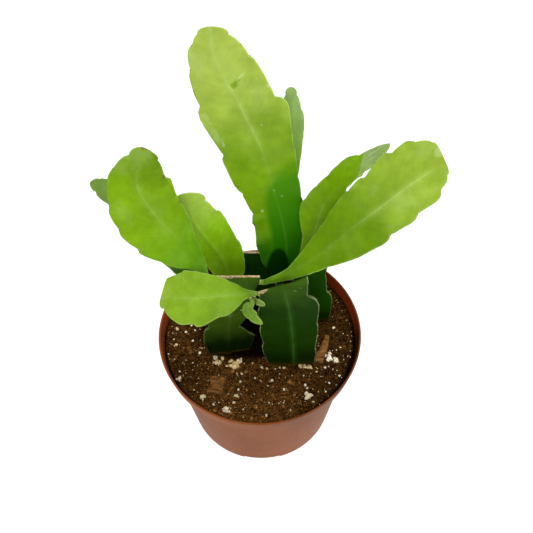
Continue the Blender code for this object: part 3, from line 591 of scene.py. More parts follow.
class Blade:
    """A flat stem: a middle line, the way its face looks, and the outline of both its sides."""

    def __init__(
        self, route, face, left, right, seed, thickness=SHOOT_THICKNESS, fold=(0, 0), cut=False,
        tip=TIP_ROUNDNESS,
    ):
        self.path = smooth_path(route)
        self.along = [0.0]
        for before, after in zip(self.path, self.path[1:]):
            self.along.append(self.along[-1] + (after - before).length)
        self.length = self.along[-1]
        self.faces = [Vector(direction).normalized() for direction in face]
        self.notches = {LEFT: left, RIGHT: right}
        self.rib, self.web, self.edge = thickness
        self.fold = fold
        self.cut = cut
        self.tip = tip
        self.seed = seed

    def middle(self, s):
        """The point of the middle line at distance s. Past its ends the line runs straight on."""
        if s <= 0:
            return self.path[0] + (self.path[1] - self.path[0]).normalized() * s
        if s >= self.length:
            return self.path[-1]
        index = next(i for i, along in enumerate(self.along) if along > s)
        part = (s - self.along[index - 1]) / (self.along[index] - self.along[index - 1])
        return self.path[index - 1].lerp(self.path[index], part)

    def frame(self, s):
        """The middle point at s, with the directions across the blade and out of its face."""
        ahead, behind = self.middle(s + DIRECTION_REACH), self.middle(s - DIRECTION_REACH)
        tangent = (ahead - behind).normalized()
        place = clamp(s / self.length) * (len(self.faces) - 1)
        index = min(int(place), max(len(self.faces) - 2, 0))
        following = min(index + 1, len(self.faces) - 1)
        face = self.faces[index].lerp(self.faces[following], place - index)
        side = tangent.cross(face).normalized()
        return self.middle(s), side, side.cross(tangent)

    def lobe(self, s, side):
        """The lobe that s is in, and how far through it, from 0 to 1."""
        notches = self.notches[side]
        for index in range(1, len(notches)):
            if s <= notches[index][0]:
                break
        before, along = notches[index - 1][0], notches[index][0]
        return index, clamp((s - before) / (along - before))

    def half_width(self, s, side):
        notches = self.notches[side]
        last_along, last_width = notches[-1][:2]
        if s < 0:
            return notches[0][1] * (1 + STUB_TAPER * s / STUB_DEPTH)
        if s >= last_along:
            if self.cut:
                return last_width
            part = clamp((s - last_along) / (self.length - last_along))
            return last_width * (1 - part ** self.tip) ** (1 / self.tip)
        index, part = self.lobe(s, side)
        width_before = notches[index - 1][1]
        width, bulge = notches[index][1:]
        if index == 1 and not self.cut:
            return mix(width_before, width, part ** NECK_FLARE)
        swell = max(math.sin(math.pi * part ** (2 if self.cut else SHELF)), 0.0) ** LOBE_FULLNESS
        scallop = noise.noise(Vector((s / SCALLOP_LENGTH, 7.0 * side, 5.0 * self.seed)))
        scallop *= SCALLOP * math.sin(math.pi * part)
        return mix(width_before, width, part) + bulge * swell + scallop

    def notch(self, s, side):
        """How much further in a shoot's margin is right at its notches."""
        if self.cut:
            return 0.0
        least, more = NOTCH_DEPTH
        return sum(
            (least + more * min(bulge, 1)) * math.exp(-((s - along) / NOTCH_REACH) ** 2)
            for along, _, bulge in self.notches[side][2:]
        )

    def thickness(self, t, width, s, to_cut):
        """Thickest along the rib, thin at the margins, with a bead along a cut end."""
        body = mix(self.edge, self.web, 1 - abs(t) ** WEB_ROUNDNESS)
        body += (self.rib - self.web) * math.exp(-(t * width / RIB_WIDTH) ** 2)
        if self.cut:
            body = mix(body, CUT_EDGE, clamp(1 - to_cut / CUT_FADE))
            return body + CALLUS_SWELL * math.exp(-(to_cut / CALLUS_WIDTH) ** 2)
        body = mix(body, min(NECK_THICKNESS, self.rib), clamp(1 - s / NECK_LENGTH))
        return mix(body, self.edge, clamp(1 - (self.length - s) / TIP_FADE))

    def rows(self):
        """Pairs of distances, for the left and the right margin, that each row joins."""
        left, right = ([notch[0] for notch in self.notches[side]] for side in (LEFT, RIGHT))
        pairs = []
        if self.cut:
            pairs += [(-STUB_DEPTH * (1 - row / STUB_ROWS),) * 2 for row in range(STUB_ROWS)]
        for index in range(len(left) - 1):
            span = (left[index + 1] - left[index] + right[index + 1] - right[index]) / 2
            count = max(2, round(span / ROW_LENGTH))
            for row in range(count):
                part = row / count
                if index > 0 or self.cut:
                    part = 1 - (1 - part) ** ROW_CROWDING
                pairs.append([mix(*side[index:index + 2], part) for side in (left, right)])
        if self.cut:
            return pairs + [(left[-1], right[-1])]
        for row in range(TIP_ROWS + 1):
            part = math.sin(math.pi / 2 * row / TIP_ROWS)
            pairs.append([mix(side[-1], self.length, part) for side in (left, right)])
        return pairs

    def relief(self, t, width, s, side):
        """Ripples that follow the lobes towards the margin, and a slow unevenness."""
        index, part = self.lobe(s, side)
        ripple = LOBE_RIPPLE * t * t * math.sin(math.tau * part) if index > 1 else 0.0
        spot = Vector((t * width, s, 40.0 * self.seed)) / DRIFT_LENGTH
        calm = clamp(s / NECK_LENGTH)
        if not self.cut:
            calm *= clamp((self.length - s) / NECK_LENGTH)
        return (ripple + DRIFT * noise.noise(spot)) * calm

    def folded(self, reach, s):
        """How far the fold lifts a point that lies so far out from the rib."""
        return reach * mix(*self.fold, clamp(s / self.length)) * clamp(s / NECK_LENGTH)

    def point(self, pair, t):
        """A point of the blade's middle surface, its thickness, and where it is on the blade."""
        side = LEFT if t < 0 else RIGHT
        s = mix(sum(pair) / 2, pair[0 if t < 0 else 1], abs(t))
        centre, across, normal = self.frame(s)
        width = max(self.half_width(s, side) - self.notch(s, side), 0.0)
        lift = self.folded(abs(t) * width, s) + self.relief(t, width, s, side)
        to_cut = NO_CUT
        if self.cut:
            ends = {each: self.notches[each][-1][0] for each in (LEFT, RIGHT)}
            to_cut = mix(sum(ends.values()) / 2, ends[side], abs(t)) - s
            if to_cut < NEARLY_NOTHING:
                wobble = noise.noise(Vector((t * width / CALLUS_WOBBLE_LENGTH, self.seed, 0)))
                centre = centre + self.frame(s)[1].cross(normal) * -abs(wobble) * CALLUS_WOBBLE
        place = centre + across * (t * width) + normal * lift
        thickness = self.thickness(t, width, s, to_cut)
        return place, thickness, (t * width, s, (1 - abs(t)) * width), to_cut

    def margin(self, side, s):
        """The point of the margin at s, and the direction square out of it."""

        def at(distance):
            centre, across, normal = self.frame(distance)
            width = self.half_width(distance, side)
            return centre + across * (side * width) + normal * self.folded(width, distance)

        before, place, after = at(s - DIRECTION_REACH), at(s), at(s + DIRECTION_REACH)
        across, normal = self.frame(s)[1:]
        outward = (after - before).cross(normal).normalized()
        return place, outward * (-1 if outward.dot(across * side) < 0 else 1)


def all_blades():
    """Every blade by name: the cuttings first, then each shoot after the blade it sprouts from."""
    blades = {}
    for name, shape in CUTTINGS.items():
        blades[name] = Blade(**shape, thickness=CUTTING_THICKNESS, cut=True, seed=len(blades))
    for name, shape in SHOOTS.items():
        shape = dict(shape)
        parent, side, along = shape.pop("seat")
        seat, outward = blades[parent].margin(side, along)
        neck = [seat + outward * (SEAT_GAP + NECK_STEP * step) for step in range(NECK_STEPS)]
        shape["route"] = neck + shape["route"]
        blades[name] = Blade(**shape, seed=len(blades))
    return blades


def make_blade(name, blade, material, slot):
    """A grid laid over the blade's middle surface, given its thickness and rounded off."""
    rows = blade.rows()
    columns = len(ACROSS) - 1
    obj = add(
        bpy.ops.mesh.primitive_grid_add, x_subdivisions=columns,
        y_subdivisions=len(rows) - 1, size=1, calc_uvs=True,
    )
    mesh = obj.data
    where, to_cut, weights = [], [], []
    for vertex in mesh.vertices:
        column = round((vertex.co.x + 0.5) * columns)
        row = round((vertex.co.y + 0.5) * (len(rows) - 1))
        place, thickness, spot, cut = blade.point(rows[row], ACROSS[column])
        vertex.co = place * MM
        where.extend(spot)
        to_cut.append(cut)
        weights.append(thickness / THICKEST)
    mesh.attributes.new("blade", "FLOAT_VECTOR", "POINT").data.foreach_set("vector", where)
    mesh.attributes.new("to_cut", "FLOAT", "POINT").data.foreach_set("value", to_cut)
    group = obj.vertex_groups.new(name="thickness")
    for index, weight in enumerate(weights):
        group.add([index], weight, "REPLACE")
    edit(obj)
    bpy.ops.mesh.remove_doubles(threshold=NEARLY_NOTHING)
    leave_edit()

    wall = obj.modifiers.new("wall", "SOLIDIFY")
    wall.thickness = THICKEST * MM
    wall.offset = 0
    wall.vertex_group = "thickness"
    smooth = obj.modifiers.new("smooth", "SUBSURF")
    smooth.levels = smooth.render_levels = 1
    apply_modifiers(obj)
    bpy.ops.object.shade_smooth()
    return finish_piece(obj, name + "_skin", material, slot, name)


def standing_out(blade, side, along, lift):
    """The matrix of a small thing that stands out from a blade's margin."""
    place, outward = blade.margin(side, along)
    turn = outward.to_track_quat("Z", "Y").to_matrix().to_4x4()
    return Matrix.Scale(MM, 4) @ Matrix.Translation(place + outward * lift) @ turn


def uneven(rng, strength, closeness):
    """A rule that swells and dents a shape a little, each time in another way."""
    seed = Vector((rng.uniform(0, 100), 0, 0))

    def swell(point):
        return point * (1 + strength * noise.noise(point * closeness + seed))

    return swell


def make_areoles(blades, material):
    """A small woolly cushion in every notch, with a short bristle on some."""
    cushion = add(bpy.ops.mesh.primitive_ico_sphere_add, subdivisions=2, radius=1)
    bristle = add(
        bpy.ops.mesh.primitive_cone_add, vertices=5, radius1=0.08, radius2=0.02, depth=1
    )
    edit(bristle)
    bpy.ops.transform.translate(value=(0, 0, 0.5))
    leave_edit()
    rng = random.Random(AREOLE_SEED)
    parts = []
    for name, blade in blades.items():
        size = SMALL_AREOLE_SIZE if "thickness" in SHOOTS.get(name, ()) else AREOLE_SIZE
        stretch = Matrix.Diagonal((*(size * share for share in AREOLE_SHAPE), 1))
        for side in (LEFT, RIGHT):
            for along, _, bulge in blade.notches[side][1:-1]:
                if bulge == 0:
                    continue
                matrix = standing_out(blade, side, along, -size * AREOLE_SINK)
                woolly = uneven(rng, 0.25, 2.5)
                parts.append(copy_of(cushion, matrix @ stretch, woolly, rng.random()))
                if rng.choice((0, 0, 0, 1)):
                    lean = Matrix.Rotation(rng.uniform(-0.7, 0.7), 4, "X")
                    lean = lean @ Matrix.Rotation(rng.uniform(-0.6, 0.6), 4, "Y")
                    length = Matrix.Scale(rng.uniform(0.8, 1.3) * size * 2, 4)
                    parts.append(copy_of(bristle, matrix @ lean @ length, None, rng.random()))
    bpy.data.objects.remove(bristle)
    return finish_parts(parts, cushion, "areoles", material, "shoot")


def make_collars(blades, material):
    """The scaly ring where each shoot leaves its parent's margin."""
    ring = add(
        bpy.ops.mesh.primitive_torus_add, major_segments=24, minor_segments=10, major_radius=1,
        minor_radius=0.38,
    )
    rng = random.Random(COLLAR_SEED)
    parts = []
    for shape in SHOOTS.values():
        parent, side, along = shape["seat"]
        matrix = standing_out(blades[parent], side, along, SEAT_GAP * COLLAR_LIFT)
        size = SMALL_COLLAR_SIZE if "thickness" in shape else COLLAR_SIZE
        scaly = uneven(rng, 0.2, 3)
        parts.append(copy_of(ring, matrix @ Matrix.Scale(size, 4), scaly, rng.random()))
    return finish_parts(parts, ring, "shoot_collars", material, "shoot")


# The pot

def arc(centre, radius, start, end, steps=5):
    """Points (radius, height) on a small round of the pot's outline, angles in degrees."""
    points = []
    for step in range(steps + 1):
        angle = math.radians(start + (end - start) * step / steps)
        points.append((
            centre[0] + radius * math.cos(angle), centre[1] + radius * math.sin(angle)
        ))
    return points


def straight(first, last, steps):
    """The points of a straight run between two others."""
    return [[mix(*pair, step / steps) for pair in zip(first, last)] for step in range(1, steps)]


def pot_outline():
    """The turned outline from under the middle of the base, up outside and down inside."""
    base, body, band, rim = BASE_RADIUS, BODY_TOP_RADIUS, BAND_LOW_RADIUS, RIM_RADIUS
    disc, inner_disc = FLOOR_DISC_RADIUS, FLOOR_DISC_RADIUS - FLOOR_STEP_INSET
    in_foot, foot, lip = BASE_RADIUS - FOOT_WALL, FOOT_ROUND, LIP_ROUND
    rise, floor, ledge, step = FLOOR_RISE, FLOOR + FLOOR_RISE, BAND_FOOT, BAND_FOOT + WALL
    outside = [
        (10, 0), (22, 0), (disc - 0.6, 0), *arc((disc - 0.6, 0.8), 0.8, -60, -45, 2),
        (disc + rise - 0.3, rise - 0.2), (disc + rise + 0.3, rise), (40, rise),
        (in_foot - 0.3, rise), (in_foot, rise - 0.3), (in_foot, 0.3), (in_foot + 0.25, 0),
        *arc((base - foot, foot), foot, -90, -5),
        *straight((base, foot), (body, foot + ledge - 4), 9),
        (body - 0.05, ledge - 1.2), *arc((body + 0.75, ledge - 0.8), 0.8, 180, 90, 4),
        (band - 0.6, ledge), *arc((band - 0.45, ledge + 0.45), 0.45, -80, 0, 4),
        *straight((band, ledge + 0.5), (rim, ledge + BAND_HEIGHT - 0.6), 5),
        *arc((rim - lip, POT_HEIGHT - lip), lip, 0, 90),
        *arc((rim - LIP + lip, POT_HEIGHT - lip), lip, 90, 180),
    ]
    inside = [
        (rim - LIP - 0.5, POT_HEIGHT - 4), (band - WALL + 0.15, step + 1),
        (band - WALL - 0.3, step), (body - WALL + 0.4, step), (body - WALL, step - 0.5),
        (body - WALL - 3.5, step / 2), (base - WALL, floor + 1), (base - WALL - 1, floor),
        (inner_disc + rise, floor), (inner_disc, FLOOR), (10, FLOOR),
    ]
    return outside + inside


def extrude_rings(outline):
    """Extrudes the selected edge loop from ring to ring, and closes it at the axis."""
    radius, height = outline[0]
    for next_radius, next_height in outline[1:]:
        bpy.ops.mesh.extrude_edges_move(
            TRANSFORM_OT_translate={"value": (0, 0, (next_height - height) * MM)}
        )
        scale = next_radius / radius
        bpy.ops.transform.resize(value=(scale, scale, 1), center_override=(0, 0, 0))
        radius, height = next_radius, next_height
    bpy.ops.mesh.extrude_edges_move(TRANSFORM_OT_translate={"value": (0, 0, 0)})
    bpy.ops.mesh.merge(type="CENTER")


def turned(outline):
    """A shell raised ring by ring from a circle, and closed at the axis on both sides."""
    radius, height = outline[0]
    obj = add(
        bpy.ops.mesh.primitive_circle_add, vertices=POT_SEGMENTS, radius=radius * MM,
        location=(0, 0, height * MM), fill_type="TRIFAN",
    )
    bpy.ops.object.transform_apply(location=True)
    edit(obj)
    bpy.ops.mesh.region_to_loop()
    extrude_rings(outline)
    bpy.ops.mesh.select_all(action="SELECT")
    bpy.ops.mesh.normals_make_consistent(inside=False)
    leave_edit()
    return obj


def cut_away(obj, cutters):
    """Cuts a group of shapes out of obj and removes them."""
    group = bpy.data.collections.new("cutters")
    bpy.context.scene.collection.children.link(group)
    for cutter in cutters:
        for home in list(cutter.users_collection):
            home.objects.unlink(cutter)
        group.objects.link(cutter)
    modifier = obj.modifiers.new("cut", "BOOLEAN")
    modifier.operand_type = "COLLECTION"
    modifier.collection = group
    modifier.solver = "EXACT"
    apply_modifiers(obj)
    for cutter in cutters:
        bpy.data.objects.remove(cutter)
    bpy.data.collections.remove(group)


def make_pot(material):
    """The turned shell, with the gaps in its foot and the drain holes cut out."""
    pot = turned(pot_outline())
    cutters = []
    for index in range(FOOT_GAPS):
        turn = math.tau * index / FOOT_GAPS
        direction = Vector((math.sin(turn), -math.cos(turn), 0))
        gap = add(
            bpy.ops.mesh.primitive_cube_add, size=1, location=direction * BASE_RADIUS * MM,
            rotation=(0, 0, turn),
        )
        gap.scale = Vector((FOOT_GAP_WIDTH, FOOT_GAP_DEPTH, 2 * FLOOR_RISE)) * MM
        place = direction * DRAIN_RING_RADIUS + Vector((0, 0, FLOOR_RISE))
        drain = add(
            bpy.ops.mesh.primitive_cylinder_add, vertices=DRAIN_SEGMENTS,
            radius=DRAIN_RADIUS * MM, depth=DRAIN_CUT_LENGTH * MM, location=place * MM,
        )
        cutters += [gap, drain]
    cut_away(pot, cutters)
    make_active(pot)
    bpy.ops.object.shade_smooth_by_angle(angle=math.radians(SHARP_FROM))
    return finish_piece(pot, "pot_shell", material, "pot", "pot")


# The soil

def soil_level(x, y):
    """The same height as the frame's soil: low in the middle, bumpy, banked up at the edge."""
    radius = math.hypot(x, y) / SOIL_RADIUS
    bumps = math.cos(x / SOIL_BUMP_LENGTH) * math.cos(y / SOIL_BUMP_LENGTH)
    bumps += SOIL_RIPPLE_SHARE * math.sin((x - y) / SOIL_RIPPLE_LENGTH)
    return SOIL_LEVEL + SOIL_EDGE_RISE * radius ** 4 + SOIL_BUMP * bumps * (1 - radius ** 6)


def soil_top(x, y):
    """The level with its grain: clots, lumps and crumbs of three sizes."""
    grain = sum(
        height * noise.noise(Vector((x, y, 9.0 * length)) / length)
        for length, height in SOIL_GRAINS
    )
    return soil_level(x, y) + grain


def make_soil_bed(material):
    """A fine grid pulled round into a disc, with the plug drawn down under it."""
    bed = add(
        bpy.ops.mesh.primitive_grid_add, x_subdivisions=SOIL_GRID, y_subdivisions=SOIL_GRID,
        size=2, calc_uvs=True,
    )
    for vertex in bed.data.vertices:
        u, v = vertex.co.xy
        x = u * math.sqrt(1 - v * v / 2) * SOIL_RADIUS
        y = v * math.sqrt(1 - u * u / 2) * SOIL_RADIUS
        vertex.co = Vector((x, y, soil_top(x, y))) * MM
    step = BAND_FOOT + WALL + GAP
    floor = FLOOR + FLOOR_RISE + GAP
    disc = FLOOR_DISC_RADIUS - FLOOR_STEP_INSET
    base = BASE_RADIUS - WALL - GAP
    edit(bed)
    bpy.ops.mesh.region_to_loop()
    extrude_rings([
        (SOIL_RADIUS, SOIL_LEVEL + SOIL_EDGE_RISE), (SOIL_RADIUS, step + 0.2),
        (BODY_TOP_RADIUS - WALL - GAP, step - 1.2), (base, floor + 1.4), (base - 1.2, floor),
        (disc + FLOOR_RISE, floor), (disc, FLOOR + GAP), (disc / 2, FLOOR + GAP),
    ])
    leave_edit()
    bpy.ops.object.shade_smooth()
    return finish_piece(bed, "peat_bed", material, "soil", "soil")


def feet_of(blades):
    """The lines on the soil along which the cuttings stand."""
    return [
        (blade.margin(LEFT, 0)[0].to_2d(), blade.margin(RIGHT, 0)[0].to_2d())
        for blade in blades.values() if blade.cut
    ]


def clear_of_blades(x, y, feet, keep_out):
    """Whether a place on the soil keeps its distance from every cutting."""
    place = Vector((x, y))
    for left, right in feet:
        span = right - left
        part = clamp((place - left).dot(span) / span.length_squared)
        if (place - left - span * part).length < keep_out + CUTTING_THICKNESS[0] / 2:
            return False
    return True


def in_painted_shade(x, y):
    """Whether a place lies in the painted shade under the middle of the plant, where no perlite
    shows.
    """
    across = (x - SHADE_MIDDLE[0]) * SHADE_SHAPE[0]
    ahead = (y - SHADE_MIDDLE[1]) * SHADE_SHAPE[1]
    return math.hypot(across, ahead) < SHADE_RADIUS + SHADE_FADE / 3


def random_place(reach, rng):
    """A place anywhere on a disc."""
    radius, angle = reach * math.sqrt(rng.random()), rng.uniform(0, math.tau)
    return radius * math.cos(angle), radius * math.sin(angle)


def crumb_places(feet, rng):
    """The large crumbs, the small ones, then some strewn at random where there is room."""
    places = list(LARGE_CRUMBS)
    places += [(x, y, rng.uniform(*SMALL_CRUMB_SIZES)) for x, y in SMALL_CRUMBS]
    count = len(places) + CRUMB_COUNT
    while len(places) < count:
        x, y = random_place(CRUMB_SPREAD, rng)
        size = rng.uniform(*CRUMB_SIZES)
        taken = [(*other[:2], (size + other[2]) / 2 + CRUMB_SPACING) for other in places]
        taken += [(*chip[:2], chip[2] / 2 + size) for chip in BARK_CHIPS]
        free = all(math.hypot(x - taken_x, y - taken_y) > room for taken_x, taken_y, room in taken)
        if free and clear_of_blades(x, y, feet, CRUMB_KEEP_OUT) and not in_painted_shade(x, y):
            places.append((x, y, size))
    return places


def strewn(count, feet, rng, keep_out):
    """Random places on the soil, clear of the cuttings."""
    places = []
    while len(places) < count:
        x, y = random_place(STREW_RADIUS, rng)
        if clear_of_blades(x, y, feet, keep_out):
            places.append((x, y))
    return places


def lumpy(rng, coarse, fine):
    """A rule that dents a unit ball, each time in another way."""
    seed = Vector((rng.uniform(0, 100), rng.uniform(0, 100), 0))

    def dent(point):
        swell = coarse * noise.noise(point * 1.5 + seed) + fine * noise.noise(point * 4 + seed)
        return point * (1 + swell)

    return dent


def lying(x, y, z, rng, stretch):
    """The matrix of a small thing lying on the soil, turned at random."""
    turn = Matrix.Rotation(rng.uniform(0, math.tau), 4, "Z")
    lean = Matrix.Rotation(rng.uniform(-0.5, 0.5), 4, "X")
    place = Matrix.Translation(Vector((x, y, z)))
    return Matrix.Scale(MM, 4) @ place @ turn @ lean @ Matrix.Diagonal((*stretch, 1))


def make_crumbs(feet, material):
    """Popcorn-like crumbs of perlite, the ones beside the cuttings stained by the peat."""
    ball = add(bpy.ops.mesh.primitive_ico_sphere_add, subdivisions=3, radius=1)
    places = crumb_places(feet, random.Random(CRUMB_SEED))
    rng = random.Random(CRUMB_SEED)
    parts = []
    for x, y, size in places:
        stained = y > STAINED_FROM and abs(x) < STAINED_REACH
        shade = rng.uniform(0.75, 1.0) if stained else rng.uniform(0.0, 0.6)
        lumps = [(x, y, size)]
        if size > CLUSTER_FROM:
            for _ in range(rng.choice((2, 3))):
                turn, share = rng.uniform(0, math.tau), rng.uniform(0.35, 0.6)
                reach = size * (0.28 + share / 3)
                lumps.append((x + reach * math.cos(turn), y + reach * math.sin(turn), size * share))
            lumps[0] = (x, y, size * 0.8)
        for lump_x, lump_y, lump_size in lumps:
            stretch = [lump_size / 2 * rng.uniform(*limits) for limits in CRUMB_STRETCH]
            level = soil_level(lump_x, lump_y) + lump_size * CRUMB_RAISE
            matrix = lying(lump_x, lump_y, level, rng, stretch)
            dented = lumpy(rng, 0.6, 0.3)
            parts.append(copy_of(ball, matrix, dented, clamp(shade + rng.uniform(-0.15, 0.15))))
    return finish_parts(parts, ball, "perlite_crumbs", material, "soil")


def make_specks(feet, material):
    """The finest grit of perlite, dusted over the peat."""
    ball = add(bpy.ops.mesh.primitive_ico_sphere_add, subdivisions=1, radius=1)
    rng = random.Random(STREW_SEED)
    parts = []
    for x, y in strewn(SPECK_COUNT, feet, rng, SPECK_KEEP_OUT):
        if in_painted_shade(x, y):
            continue
        size = rng.uniform(*SPECK_SIZES) * rng.uniform(0.5, 1)
        stretch = [size * rng.uniform(0.6, 1.2) for _ in range(3)]
        matrix = lying(x, y, soil_top(x, y) + size * 0.35, rng, stretch)
        parts.append(copy_of(ball, matrix, lumpy(rng, 0.4, 0.3), rng.uniform(0.1, 1.0)))
    return finish_parts(parts, ball, "perlite_grit", material, "soil", smooth=False)


def make_clods(feet, material):
    """Loose clods of peat."""
    ball = add(bpy.ops.mesh.primitive_ico_sphere_add, subdivisions=2, radius=1)
    rng = random.Random(STREW_SEED + 1)
    parts = []
    for x, y in strewn(CLOD_COUNT, feet, rng, CLOD_KEEP_OUT):
        size = CLOD_LEAST + CLOD_MORE * rng.random() ** 2.5
        stretch = [size * rng.uniform(*limits) for limits in CLOD_STRETCH]
        matrix = lying(x, y, soil_top(x, y) + size * 0.1, rng, stretch)
        parts.append(copy_of(ball, matrix, lumpy(rng, 0.6, 0.4), rng.random()))
    return finish_parts(parts, ball, "peat_clods", material, "soil", smooth=False)


def bent(rng):
    """A rule that bends, thins and flattens a straw, each time in another way."""
    length, thick = rng.uniform(*FIBRE_LENGTHS), rng.uniform(*FIBRE_WIDTHS)
    flat_share = rng.uniform(*FIBRE_FLATNESS)
    bend, twist, sag = rng.uniform(-0.09, 0.09), rng.uniform(-0.05, 0.05), rng.uniform(0.0, 0.04)
    scale = length / STRAW_LENGTH

    def shape(point):
        along = point.z
        thin = 1 - 0.6 * (2 * abs(along) / STRAW_LENGTH) ** 3
        return Vector((
            along * scale + point.x * 0.01,
            (bend * along ** 2 + twist * along ** 3 / 3) * scale + point.y * thick * thin,
            point.x * thick * flat_share * thin - sag * along ** 2 * scale,
        ))

    return shape


def make_fibres(feet, material):
    """Bent fibres of peat and slivers of bark, lying every way."""
    straw = add(bpy.ops.mesh.primitive_circle_add, vertices=4, radius=1, fill_type="NGON")
    edit(straw)
    for _ in range(STRAW_LENGTH):
        bpy.ops.mesh.extrude_region_move(TRANSFORM_OT_translate={"value": (0, 0, 1)})
    bpy.ops.mesh.select_all(action="SELECT")
    bpy.ops.transform.translate(value=(0, 0, -STRAW_LENGTH / 2))
    bpy.ops.mesh.normals_make_consistent(inside=False)
    leave_edit()
    rng = random.Random(STREW_SEED + 2)
    parts = []
    for x, y in strewn(FIBRE_COUNT, feet, rng, FIBRE_KEEP_OUT):
        shape = bent(rng)
        turn = Matrix.Rotation(rng.uniform(0, math.tau), 4, "Z")
        lean = Matrix.Rotation(rng.gauss(0, 0.16), 4, "Y")
        place = Matrix.Translation(Vector((x, y, soil_top(x, y) + rng.uniform(0.1, 0.45))))
        fibre = copy_of(straw, Matrix.Scale(MM, 4) @ place @ turn @ lean, shape, rng.random())
        if max(vertex.co.xy.length for vertex in fibre.data.vertices) < SOIL_RADIUS * MM:
            parts.append(fibre)
        else:
            bpy.data.objects.remove(fibre)
    return finish_parts(parts, straw, "peat_fibres", material, "soil", smooth=False)


def make_chips(material):
    """Two chips of bark, split along the grain, with broken ends."""
    parts = []
    rng = random.Random(CHIP_SEED)
    for x, y, length, width, turn in BARK_CHIPS:
        chip = add(bpy.ops.mesh.primitive_cube_add, size=1)
        edit(chip)
        bpy.ops.transform.resize(value=(length, width, 2 * CHIP_THICKNESS))
        bpy.ops.mesh.subdivide(number_cuts=CHIP_CUTS)
        leave_edit()
        seed = rng.uniform(0, 50)
        for vertex in chip.data.vertices:
            point = vertex.co
            grain = noise.noise(Vector((point.x / 6, point.y / 0.8, point.z / 1.2 + seed)))
            lump = noise.noise(Vector((point.x / 3, point.y / 2, seed)))
            ragged = noise.noise(Vector((point.y / 0.7, point.z / 0.9, seed + 9)))
            flatter = 1 - CHIP_ROUNDING * abs(2 * point.y / width) ** 4
            point.z = point.z * flatter + CHIP_GRAIN * grain + CHIP_LUMPS * lump
            point.x += CHIP_RAGGED * ragged * abs(2 * point.x / length) ** 3
            point.y += 0.3 * lump * abs(2 * point.y / width) ** 2
            if length > LONG_CHIP:
                point.y *= 1 - CHIP_TAPER * (point.x / length + 0.5)
                point.y += CHIP_BEND * point.x ** 2
        chip.data.transform(Matrix.Translation(Vector((x, y, soil_level(x, y) - CHIP_SINK)))
                            @ Matrix.Rotation(math.radians(turn), 4, "Z"))
        chip.data.transform(Matrix.Scale(MM, 4))
        tint(chip, rng.random())
        parts.append(chip)
    obj = join(parts)
    bpy.ops.object.shade_smooth_by_angle(angle=math.radians(CHIP_SHARP_FROM))
    return finish_piece(obj, "bark_chips", material, "soil")


# Tools for materials

def fill(socket, value):
    """Links a Value to a socket, or sets the socket to a plain number, vector or colour."""
    if isinstance(value, Value):
        socket.id_data.links.new(value.socket, socket)
    elif socket.type == "RGBA":
        socket.default_value = (*value, 1)
    else:
        socket.default_value = value


def add_node(tree, kind, inputs=None, output=0, **settings):
    """Adds a shader node with its settings, fills its inputs, and returns one of its outputs."""
    made = tree.nodes.new("ShaderNode" + kind)
    for key, value in settings.items():
        setattr(made, key, value)
    for key, value in (inputs or {}).items():
        fill(made.inputs[key], value)
    return Value(made.outputs[output])


class Value:
    """An output of a shader node. Each sum or step made with it adds the node that does it."""

    def __init__(self, socket):
        self.socket = socket
        self.tree = socket.id_data

    def math(self, operation, first, second=0.0):
        return add_node(self.tree, "Math", {0: first, 1: second}, operation=operation)

    def __add__(self, other):
        return self.math("ADD", self, other)

    def __sub__(self, other):
        return self.math("SUBTRACT", self, other)

    def __rsub__(self, other):
        return self.math("SUBTRACT", other, self)

    def __mul__(self, other):
        return self.math("MULTIPLY", self, other)

    def __truediv__(self, other):
        return self.math("DIVIDE", self, other)

    def __pow__(self, other):
        return self.math("POWER", self, other)

    def __abs__(self):
        return self.math("ABSOLUTE", self)

    def at_least(self, other):
        return self.math("MAXIMUM", self, other)

    def limited(self):
        """Keeps the sum that gave this value between 0 and 1."""
        self.socket.node.use_clamp = True
        return self

    def fade(self, low, high, start=0.0, end=1.0):
        """A soft step: start below low, end above high."""
        inputs = {0: self, 1: low, 2: high, 3: start, 4: end}
        return add_node(self.tree, "MapRange", inputs, interpolation_type="SMOOTHSTEP")

    def between(self, first, second):
        """The first colour where this value is 0, the second where it is 1."""
        inputs = {0: self, 6: first, 7: second}
        return add_node(self.tree, "Mix", inputs, 2, data_type="RGBA")

    def toward(self, other, share):
        """This colour, replaced by the other as far as share says."""
        return share.between(self, other)

    def brightened(self, factor):
        return add_node(self.tree, "HueSaturation", {"Value": factor, "Color": self})

    def noise(self, scale, detail=2.0, rough=0.5, distortion=0.0):
        return add_node(self.tree, "TexNoise", {
            "Vector": self, "Scale": scale, "Detail": detail, "Roughness": rough,
            "Distortion": distortion,
        }, "Fac")

    def cells(self, scale):
        return add_node(self.tree, "TexVoronoi", {"Vector": self, "Scale": scale}, "Distance")

    def mapped(self, **steps):
        """This place turned or scaled, for a pattern that runs one way."""
        return add_node(self.tree, "Mapping", {"Vector": self, **steps})

    def parts(self):
        node = add_node(self.tree, "SeparateXYZ", {0: self}).socket.node
        return [Value(output) for output in node.outputs]


def place_of(tree):
    return add_node(tree, "TexCoord", output="Object")


def attribute(tree, name, output="Fac"):
    return add_node(tree, "Attribute", output=output, attribute_name=name)


def on_blade(tree):
    """How far across its blade a point is, how far along, and how far in from the margin."""
    return attribute(tree, "blade", "Vector").parts()


def flat(x, y):
    return add_node(x.tree, "CombineXYZ", {0: x, 1: y})


def distance(x, y):
    return add_node(x.tree, "VectorMath", {0: flat(x, y)}, "Value", operation="LENGTH")


